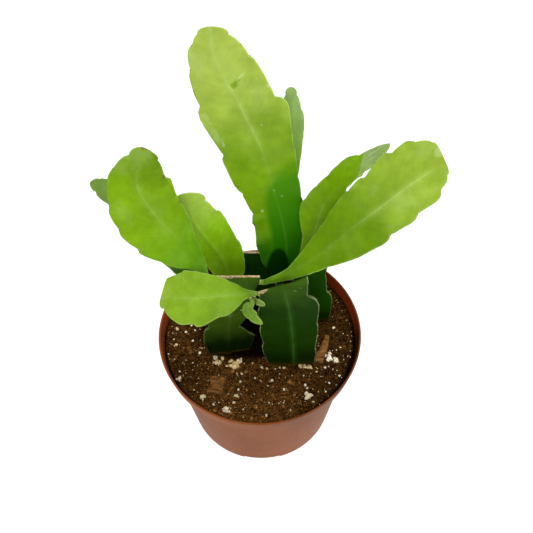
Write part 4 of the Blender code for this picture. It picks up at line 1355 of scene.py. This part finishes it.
def new_group(name, inputs, outputs):
    """A node group with named sockets: {label: default} coming in, {label: kind} going out."""
    tree = bpy.data.node_groups.new(name, "ShaderNodeTree")
    for label, value in inputs.items():
        kind = "NodeSocketColor" if isinstance(value, tuple) else "NodeSocketFloat"
        socket = tree.interface.new_socket(name=label, in_out="INPUT", socket_type=kind)
        socket.default_value = value
    for label, kind in outputs.items():
        tree.interface.new_socket(name=label, in_out="OUTPUT", socket_type="NodeSocket" + kind)
    given = tree.nodes.new("NodeGroupInput").outputs
    return tree, {label: Value(given[label]) for label in inputs}


def close_group(tree, **outputs):
    made = tree.nodes.new("NodeGroupOutput")
    for label, value in outputs.items():
        fill(made.inputs[label], value)
    return tree


def new_material(name, **sockets):
    """A material with its Principled shader, whose plain values are set on its own sockets."""
    made = bpy.data.materials.new(name)
    made.use_nodes = True
    shader = made.node_tree.nodes["Principled BSDF"]
    for label, value in sockets.items():
        fill(shader.inputs[label.replace("_", " ")], value)
    return made, made.node_tree


def finish_material(made, ground, rough, height, depth):
    """Gives the shader its colour, its roughness and its relief, so many millimetres deep."""
    tree = made.node_tree
    relief = add_node(tree, "Bump", {"Height": height, "Distance": depth * MM, "Strength": 1.0})
    inputs = tree.nodes["Principled BSDF"].inputs
    for label, value in (("Base Color", ground), ("Roughness", rough), ("Normal", relief)):
        fill(inputs[label], value)
    return made


# Groups that several materials use

def living_skin_group():
    """Colour, roughness and height of a stem's skin, placed by where it is on its blade."""
    grey = (0.5, 0.5, 0.5, 1.0)
    tree, given = new_group("living_skin", {
        "Base": grey, "Middle": grey, "Tip": grey, "Rib": grey, "Margin": grey,
        "Rib Strength": 0.5, "Margin Strength": 0.5, "Rib End": 100.0, "Slant": 0.0,
        "Base End": 0.0, "Middle Start": 10.0, "Middle End": 20.0, "Tip Start": 30.0,
        "Gloss": 0.4, "Rib Start": 0.0, "Painted Sheen": 0.0,
    }, {"Colour": "Color", "Roughness": "Float", "Height": "Float"})
    place = place_of(tree)
    side, along, margin = on_blade(tree)
    across = abs(side)
    slow = place.noise(60, 2)
    patchy = place.noise(190, 3, 0.55)
    fine = place.noise(700, 2)

    # The three colours, with drifting bounds
    def reached(along_it, start, end):
        drift = (slow - 0.5) * (given[end] - given[start])
        return (along_it + drift * 0.5).fade(given[start], given[end])

    low = reached(along, "Base End", "Middle Start")
    high = reached(along + side * given["Slant"], "Middle End", "Tip Start")
    ground = low.between(given["Base"], given["Middle"]).toward(given["Tip"], high)

    # Unevenness, the veins that run out to the margin, and the painted sheen
    shade = slow.fade(0.3, 0.7, 0.92, 1.08) * patchy.fade(0.3, 0.7, 0.94, 1.06)
    shade *= fine.fade(0.25, 0.75, 0.98, 1.02)
    veins = flat(side * 0.12, (along - across * 0.9) * 0.34).noise(1.0, 3, 0.55, 0.5)
    shade *= veins.fade(0.3, 0.7, 0.965, 1.035)
    cloud = place.noise(75, 3, 0.55, 0.4).fade(0.45, 0.7)
    cloud *= high.fade(0.0, 1.0, 0.3, 1.0) * given["Painted Sheen"]
    ground = ground.brightened(shade).toward(given["Rib"], cloud)

    # The midrib, the margin and a few pale flecks
    rib = across.fade(0.1, 0.8, 0.6, 0.0) + across.fade(0.3, 3.0, 0.4, 0.0)
    rib *= patchy.fade(0.3, 0.6, 0.6, 1.0)
    rib *= (given["Rib End"] - along).fade(0.0, 16.0)
    rib *= (along - given["Rib Start"]).fade(-14.0, 10.0, 0.15, 1.0)
    ground = ground.toward(given["Rib"], (rib * given["Rib Strength"]).limited())
    rim = margin.fade(0.15, 0.7, 1.0, 0.0) * patchy.fade(0.35, 0.6, 0.35, 1.0)
    ground = ground.toward(given["Margin"], (rim * given["Margin Strength"]).limited())
    dots = place.cells(95.0)
    chosen = Value(dots.socket.node.outputs["Color"]).parts()[0]
    chosen = chosen.math("GREATER_THAN", chosen, 0.8)
    ground = ground.toward(given["Rib"], dots.fade(0.02, 0.045, 1.0, 0.0) * chosen * 0.25)

    rough = given["Gloss"] + patchy.fade(0.3, 0.7, -0.06, 0.1)
    height = fine * 0.5 + patchy * 0.9 + place.cells(1900.0) * 0.22
    return close_group(tree, Colour=ground, Roughness=rough, Height=height)


def mark_group():
    """A mask that is 1 inside one small ragged ellipse on a blade."""
    tree, given = new_group(
        "mark", {"Across": 0.0, "Along": 0.0, "Wide": 1.0, "Long": 1.0, "Turn": 0.0},
        {"Mask": "Float"},
    )
    side, along, _ = on_blade(tree)
    offset = flat(side - given["Across"], along - given["Along"])
    inputs = {0: offset, "Angle": given["Turn"]}
    x, y, _ = add_node(tree, "VectorRotate", inputs, rotation_type="Z_AXIS").parts()
    ragged = place_of(tree).noise(520, 3, 0.6).fade(0.3, 0.7, -0.35, 0.35)
    from_middle = distance(x / given["Wide"], y / given["Long"])
    return close_group(tree, Mask=(from_middle + ragged).fade(0.4, 1.25, 1.0, 0.0))


def splash_group():
    """A mask of peat dust that thins out upwards from Low to High, in millimetres."""
    tree, given = new_group("splash", {"Low": 0.0, "High": 5.0}, {"Mask": "Float"})
    place = place_of(tree)
    thin = (place.parts()[2] / MM).fade(given["Low"], given["High"])
    level = place.noise(900, 4, 0.7) + place.noise(160, 2) * 0.5 - thin * 0.75
    return close_group(tree, Mask=level.fade(0.42, 0.58))


# Materials

# The first is the near black of painted shade on soil and wall, the second dark peat
PAINTED_SHADE, PEAT_DARK = (0.0010, 0.0005, 0.0002), (0.012, 0.0045, 0.0010)
PEAT_BROWN, PEAT_LIGHT = (0.078, 0.029, 0.005), (0.32, 0.146, 0.034)
FIBRE_BROWN = (0.15, 0.08, 0.03)
POT_DARK, POT_LIGHT = (0.172, 0.045, 0.006), (0.212, 0.061, 0.013)
POT_STREAK, POT_SPECK = (0.26, 0.10, 0.045), (0.11, 0.028, 0.008)
# The first red is painted shade on the band's right; the second is the inside of the wall
POT_SHADE_RED, WALL_RED = (0.20, 0.022, 0.004), (0.23, 0.025, 0.004)
PERLITE, PERLITE_STAINED = (0.88, 0.82, 0.66), (0.68, 0.48, 0.18)
PERLITE_PIT = (0.30, 0.19, 0.09)
BARK_DARK, BARK_LIGHT, BARK_PATCH = (0.070, 0.027, 0.006), (0.26, 0.115, 0.026), (0.16, 0.08, 0.03)
WOOL_DARK, WOOL_LIGHT = (0.10, 0.11, 0.015), (0.30, 0.30, 0.10)
SCALE_DARK, SCALE_LIGHT = (0.30, 0.30, 0.10), (0.62, 0.56, 0.32)
DUST_ON_CUTTINGS, DUST_ON_WALL = {"Low": 75.0, "High": 81.0}, {"Low": 76.5, "High": 83.0}


def callus_of(tree, name, place):
    """The dry skin over a cut end: how much of it shows, by how far it is from the cut."""
    side = on_blade(tree)[0]
    start, end, low, high = CALLUS[name]
    past = attribute(tree, "to_cut") - side.fade(start, end, low, high)
    ragged = place.noise(600, 3).fade(0.2, 0.8, -0.35, 0.35)
    return (past + ragged).fade(-0.25, 0.25, 1.0, 0.0)


def painted_shadow(tree, ground):
    """A painted shadow low on the tall shoot's right, with a soft curved bound and a darker foot.
    """
    side, along, _ = on_blade(tree)
    rise = ((along - ZONE_FROM) / ZONE_RISE).at_least(0.0) ** 4.0
    bound = rise * ZONE_SPREAD + ZONE_ACROSS
    mask = ((side - bound) / (rise * 2.5 + 1.0)).fade(-1.7, 1.9)
    mask *= (along - side * 0.45).fade(ZONE_TOP - 13, ZONE_TOP + 4, 1.0, 0.0)
    zone = along.fade(42.0, 92.0).between(ZONE_LOW, ZONE_HIGH)
    zone = zone.toward(ZONE_RIB, abs(side).fade(0.1, 1.0, 0.4, 0.0))
    ground = ground.toward(zone, mask * ZONE_STRENGTH)
    from_foot = distance(
        (side - FOOT_MIDDLE[0]) / FOOT_REACH[0], (along - FOOT_MIDDLE[1]) / FOOT_REACH[1]
    )
    foot = from_foot.fade(0.85, 1.1, 1.0, 0.0).at_least(along.fade(15.0, 31.0, 1.0, 0.0))
    return ground.toward(ZONE_FOOT, foot * ZONE_STRENGTH)


def skin_material(name, skin, groups):
    """A blade's skin, with its own marks, and on a cutting the peat dust and the callus."""
    is_cutting = skin.get("slot") == "cutting"
    made, tree = new_material(name, Specular_IOR_Level=0.04 if is_cutting else 0.05)
    inputs = {
        "Base": skin["base"], "Middle": skin["middle"], "Tip": skin["tip"], "Rib": skin["rib"],
        "Margin": skin["edge"], "Rib Strength": skin["rib_strength"],
        "Margin Strength": skin["edge_strength"], "Rib Start": skin.get("rib_start", -20),
        "Rib End": skin["rib_end"], "Slant": skin.get("slant", 0.0),
        "Gloss": skin.get("gloss", 0.42), "Painted Sheen": skin.get("painted_sheen", 0.0),
    }
    inputs.update(zip(("Base End", "Middle Start", "Middle End", "Tip Start"), skin["reach"]))
    ground = add_node(tree, "Group", inputs, "Colour", node_tree=groups["skin"])
    outputs = ground.socket.node.outputs
    rough, height = Value(outputs["Roughness"]), Value(outputs["Height"])
    if name == "shoot_tall":
        ground = painted_shadow(tree, ground)
    for across, along, wide, long, turn, mark_colour, strength in MARKS.get(name, ()):
        inputs = {
            "Across": across, "Along": along, "Wide": wide, "Long": long,
            "Turn": math.radians(turn),
        }
        mask = add_node(tree, "Group", inputs, "Mask", node_tree=groups["mark"])
        ground = ground.toward(mark_colour, mask * strength)
    if is_cutting:
        dust = add_node(tree, "Group", DUST_ON_CUTTINGS, "Mask", node_tree=groups["splash"])
        place = place_of(tree)
        callus = callus_of(tree, name, place)
        cork = place.noise(700, 4, 0.7).fade(0.35, 0.6).between(CALLUS_DARK, CALLUS_COLOUR)
        ground = ground.toward(PEAT_BROWN, dust * 0.35).toward(cork, callus)
        rough = (rough + callus * 0.4).limited()
    return finish_material(made, ground, rough, height, 0.12)


def pot_material(groups):
    """Dull terracotta plastic, with painted light and shade: darker where the plant shades it."""
    made, tree = new_material("terracotta_plastic", Specular_IOR_Level=0.1)
    place = place_of(tree)
    speckle = place.noise(1300, 3, 0.6)
    streaks = place.mapped(Scale=(1, 1, 0.12)).noise(240, 3, 0.6)
    ground = place.noise(28, 3).fade(0.35, 0.65).between(POT_DARK, POT_LIGHT)
    ground = ground.toward(POT_STREAK, streaks.fade(0.45, 0.75, 0.0, 0.15))
    ground = ground.toward(POT_SPECK, speckle.fade(0.5, 0.75, 0.0, 0.2))

    # Painted light and shade: the band darkens and reddens towards the right, and the body is a
    # little lighter low down
    x, y, z = place.parts()
    height = z / MM
    to_side = x.fade(-0.9 * RIM_RADIUS * MM, 0.9 * RIM_RADIUS * MM, 1.3, 0.72)
    on_band = height.fade(BAND_FOOT - 1, BAND_FOOT + 1)
    shade = on_band * (to_side - 1.0) + 1.0
    ground = ground.brightened(shade * height.fade(8.0, 34.0, 1.16, 1.0))
    ground = ground.toward(POT_SHADE_RED, on_band * x.fade(25 * MM, 55 * MM, 0.0, 0.15))

    # The wall's inside above the soil: red, with painted shade behind the plant and at the front
    # right
    slope = (height - BAND_FOOT) * ((RIM_RADIUS - BAND_LOW_RADIUS) / BAND_HEIGHT * MM)
    inner = (slope + BAND_LOW_RADIUS * MM - distance(x, y)).fade(0.6 * MM, 0.9 * MM)
    inner *= height.fade(75.8, 76.2) * height.fade(83.4, 84.2, 1.0, 0.0)
    ground = ground.toward(WALL_RED, inner * x.fade(-25 * MM, 25 * MM, 0.72, 0.94))
    behind = y.fade(10 * MM, 25 * MM) * abs(x).fade(32 * MM, 42 * MM, 0.9, 0.0)
    ground = ground.toward(PAINTED_SHADE, inner * behind)
    unlit = x.fade(15 * MM, 45 * MM, 0.0, 0.9) * y.fade(-8 * MM, 12 * MM, 1.0, 0.0)
    ground = ground.toward(PEAT_DARK, inner * unlit)
    dust = add_node(tree, "Group", DUST_ON_WALL, "Mask", node_tree=groups["splash"])
    dust = dust * (inner * 0.6) * (1.0 - behind)
    rough = (speckle.fade(0.3, 0.7, 0.44, 0.58) + dust * 0.3).limited()
    relief = speckle * 0.5 + streaks * 0.3
    return finish_material(made, ground.toward(PEAT_BROWN, dust), rough, relief, 0.06)


def peat_material(name, dark, brown, light, light_share):
    """Clots of peat with pale grains and hairs. A piece's tint makes it lighter by its share."""
    made, tree = new_material(name, Specular_IOR_Level=0.02)
    place = place_of(tree)
    clots = place.noise(480, 4, 0.7)
    grain = place.noise(1500, 3, 0.7)
    hairs = place.mapped(Scale=(1, 0.16, 1)).noise(2600, 2, 0.6, 0.6)
    ground = clots.fade(0.41, 0.60).between(dark, brown)
    ground = ground.toward(light, grain.fade(0.53, 0.67, 0.0, 0.9))
    ground = ground.toward(light, hairs.fade(0.64, 0.72, 0.0, 0.4))
    ground = ground.toward(light, attribute(tree, "tint") ** 4.0 * light_share)
    x, y, _ = place.parts()
    # Painted light and shade: lighter in the middle, darker towards the right and the far left
    shade = x.fade(5 * MM, 42 * MM, 1.18, 0.47) * x.fade(-40 * MM, -18 * MM, 0.64, 1.0)
    ground = ground.brightened(shade)

    # Painted shade, nearly black: under the plant, behind it, and along the wall in front
    from_middle = distance(
        (x - SHADE_MIDDLE[0] * MM) * SHADE_SHAPE[0], (y - SHADE_MIDDLE[1] * MM) * SHADE_SHAPE[1]
    )
    under = from_middle.fade(SHADE_RADIUS * MM, (SHADE_RADIUS + SHADE_FADE) * MM, 0.98, 0.0)
    behind = y.fade(20 * MM, 34 * MM) * abs(x).fade(24 * MM, 32 * MM, 0.94, 0.0)
    to_wall = (SOIL_RADIUS * MM - distance(x, y)) / x.fade(0.0, 45 * MM, 1.3 * MM, 3.0 * MM)
    ring = to_wall.fade(0.3, 1.0, 0.9, 0.0) * y.fade(0.0, 15 * MM, 1.0, 0.0)
    ground = ground.toward(PAINTED_SHADE, under.at_least(behind).at_least(ring))
    return finish_material(made, ground, clots.fade(0.3, 0.7, 0.8, 1.0), clots + grain * 0.6, 0.35)


def perlite_material():
    """White crumbs with brown pits, stained yellow by their tint."""
    made, tree = new_material("perlite", Specular_IOR_Level=0.1)
    place = place_of(tree)
    pits = place.cells(1700.0)
    stain = attribute(tree, "tint") * place.noise(420, 3).fade(0.3, 0.65, 0.55, 1.15)
    ground = stain.limited().between(PERLITE, PERLITE_STAINED)
    ground = ground.toward(PERLITE_PIT, pits.fade(0.0, 0.25, 0.55, 0.0))
    return finish_material(made, ground, pits.fade(0.0, 0.5, 0.95, 0.75), pits, 0.2)


def bark_material():
    """Brown bark, with a grain that runs along both chips."""
    made, tree = new_material("bark", Specular_IOR_Level=0.08)
    place = place_of(tree)
    along_chip = place.mapped(Rotation=(0, 0, math.radians(-75)), Scale=(0.16, 1, 1))
    grain = along_chip.noise(1100, 4, 0.65)
    ground = grain.fade(0.35, 0.65).between(BARK_DARK, BARK_LIGHT)
    ground = ground.toward(BARK_PATCH, place.noise(260, 3).fade(0.45, 0.7, 0.0, 0.5))
    return finish_material(made, ground, grain.fade(0.3, 0.7, 0.9, 0.75), grain, 0.3)


def tinted_material(name, dark, light, rough):
    """A matt surface whose small pieces lie between two shades."""
    made, tree = new_material(name, Specular_IOR_Level=0.1)
    wool = place_of(tree).noise(2400, 3, 0.6)
    share = (attribute(tree, "tint") * 0.6 + wool.fade(0.3, 0.7, 0.0, 0.4)).limited()
    rough = wool.fade(0.2, 0.8, rough - 0.08, rough + 0.08)
    return finish_material(made, share.between(dark, light), rough, wool, 0.08)


# Studio. Its sizes are in metres, and each light has its place, its size and its power.

STUDIO_LIGHTS = [
    ("key", (0.46, 0.25, 1.08), 0.3, 8.0),
    ("fill", (-0.15, -1.1, 0.75), 0.9, 7.0),
]
LIGHTS_AIM = (0, 0, 0.12)
FLOOR_SIZE, FLOOR_DROP = 6, 0.0002
FLOOR_GREYS = (0.30, 0.30, 0.30), (0.33, 0.33, 0.33)
FLOOR_GLOW, WORLD_LIGHT = 0.85, 0.6


def floor_material():
    made, tree = new_material(
        "studio_floor", Roughness=0.9, Specular_IOR_Level=0.1, Emission_Color=(1, 1, 1),
        Emission_Strength=FLOOR_GLOW,
    )
    ground = place_of(tree).noise(40, 2).between(*FLOOR_GREYS)
    fill(tree.nodes["Principled BSDF"].inputs["Base Color"], ground)
    return made


def make_studio():
    floor = add(
        bpy.ops.mesh.primitive_plane_add, size=FLOOR_SIZE, location=(0, 0, -FLOOR_DROP)
    )
    bpy.ops.object.transform_apply(location=True)
    floor.name = "studio_floor"
    floor.data.materials.append(floor_material())

    world = bpy.data.worlds.new("studio")
    world.use_nodes = True
    background = world.node_tree.nodes["Background"]
    background.inputs["Color"].default_value = (1, 1, 1, 1)
    background.inputs["Strength"].default_value = WORLD_LIGHT
    bpy.context.scene.world = world
    bpy.context.scene.view_settings.view_transform = "Standard"

    for name, place, size, energy in STUDIO_LIGHTS:
        light = bpy.data.lights.new(name, "AREA")
        light.size = size
        light.energy = energy
        lamp = bpy.data.objects.new(name, light)
        lamp.location = place
        aim = Vector(LIGHTS_AIM) - lamp.location
        lamp.rotation_euler = aim.to_track_quat("-Z", "Y").to_euler()
        bpy.context.scene.collection.objects.link(lamp)


def make_camera():
    data = bpy.data.cameras.new("camera")
    data.lens = CAMERA_LENS
    data.sensor_width = CAMERA_SENSOR
    data.clip_start = CAMERA_SEES_FROM * MM
    camera = bpy.data.objects.new("camera", data)
    bpy.context.scene.collection.objects.link(camera)
    tilt = Matrix.Rotation(math.radians(90 - CAMERA_LOOKS_DOWN), 4, "X")
    lean = Matrix.Rotation(math.radians(CAMERA_LEAN), 4, "Z")
    camera.matrix_world = Matrix.Translation(Vector(CAMERA_PLACE) * MM) @ tilt @ lean
    bpy.context.scene.camera = camera


def main():
    make_camera()
    make_studio()
    groups = {"skin": living_skin_group(), "mark": mark_group(), "splash": splash_group()}
    blades = all_blades()
    for name, blade in blades.items():
        material = skin_material(name, SKINS[name], groups)
        make_blade(name, blade, material, SKINS[name].get("slot", "shoot"))
    make_areoles(blades, tinted_material("areole_wool", WOOL_DARK, WOOL_LIGHT, 0.8))
    make_collars(blades, tinted_material("collar_scale", SCALE_DARK, SCALE_LIGHT, 0.6))
    make_pot(pot_material(groups))
    feet = feet_of(blades)
    make_soil_bed(peat_material("peat", PEAT_DARK, PEAT_BROWN, PEAT_LIGHT, 0.0))
    make_clods(feet, peat_material("clods", PEAT_DARK, PEAT_BROWN, PEAT_LIGHT, 0.9))
    make_fibres(feet, peat_material("fibres", PEAT_BROWN, FIBRE_BROWN, PEAT_LIGHT, 1.0))
    perlite = perlite_material()
    make_crumbs(feet, perlite)
    make_specks(feet, perlite)
    make_chips(bark_material())


main()
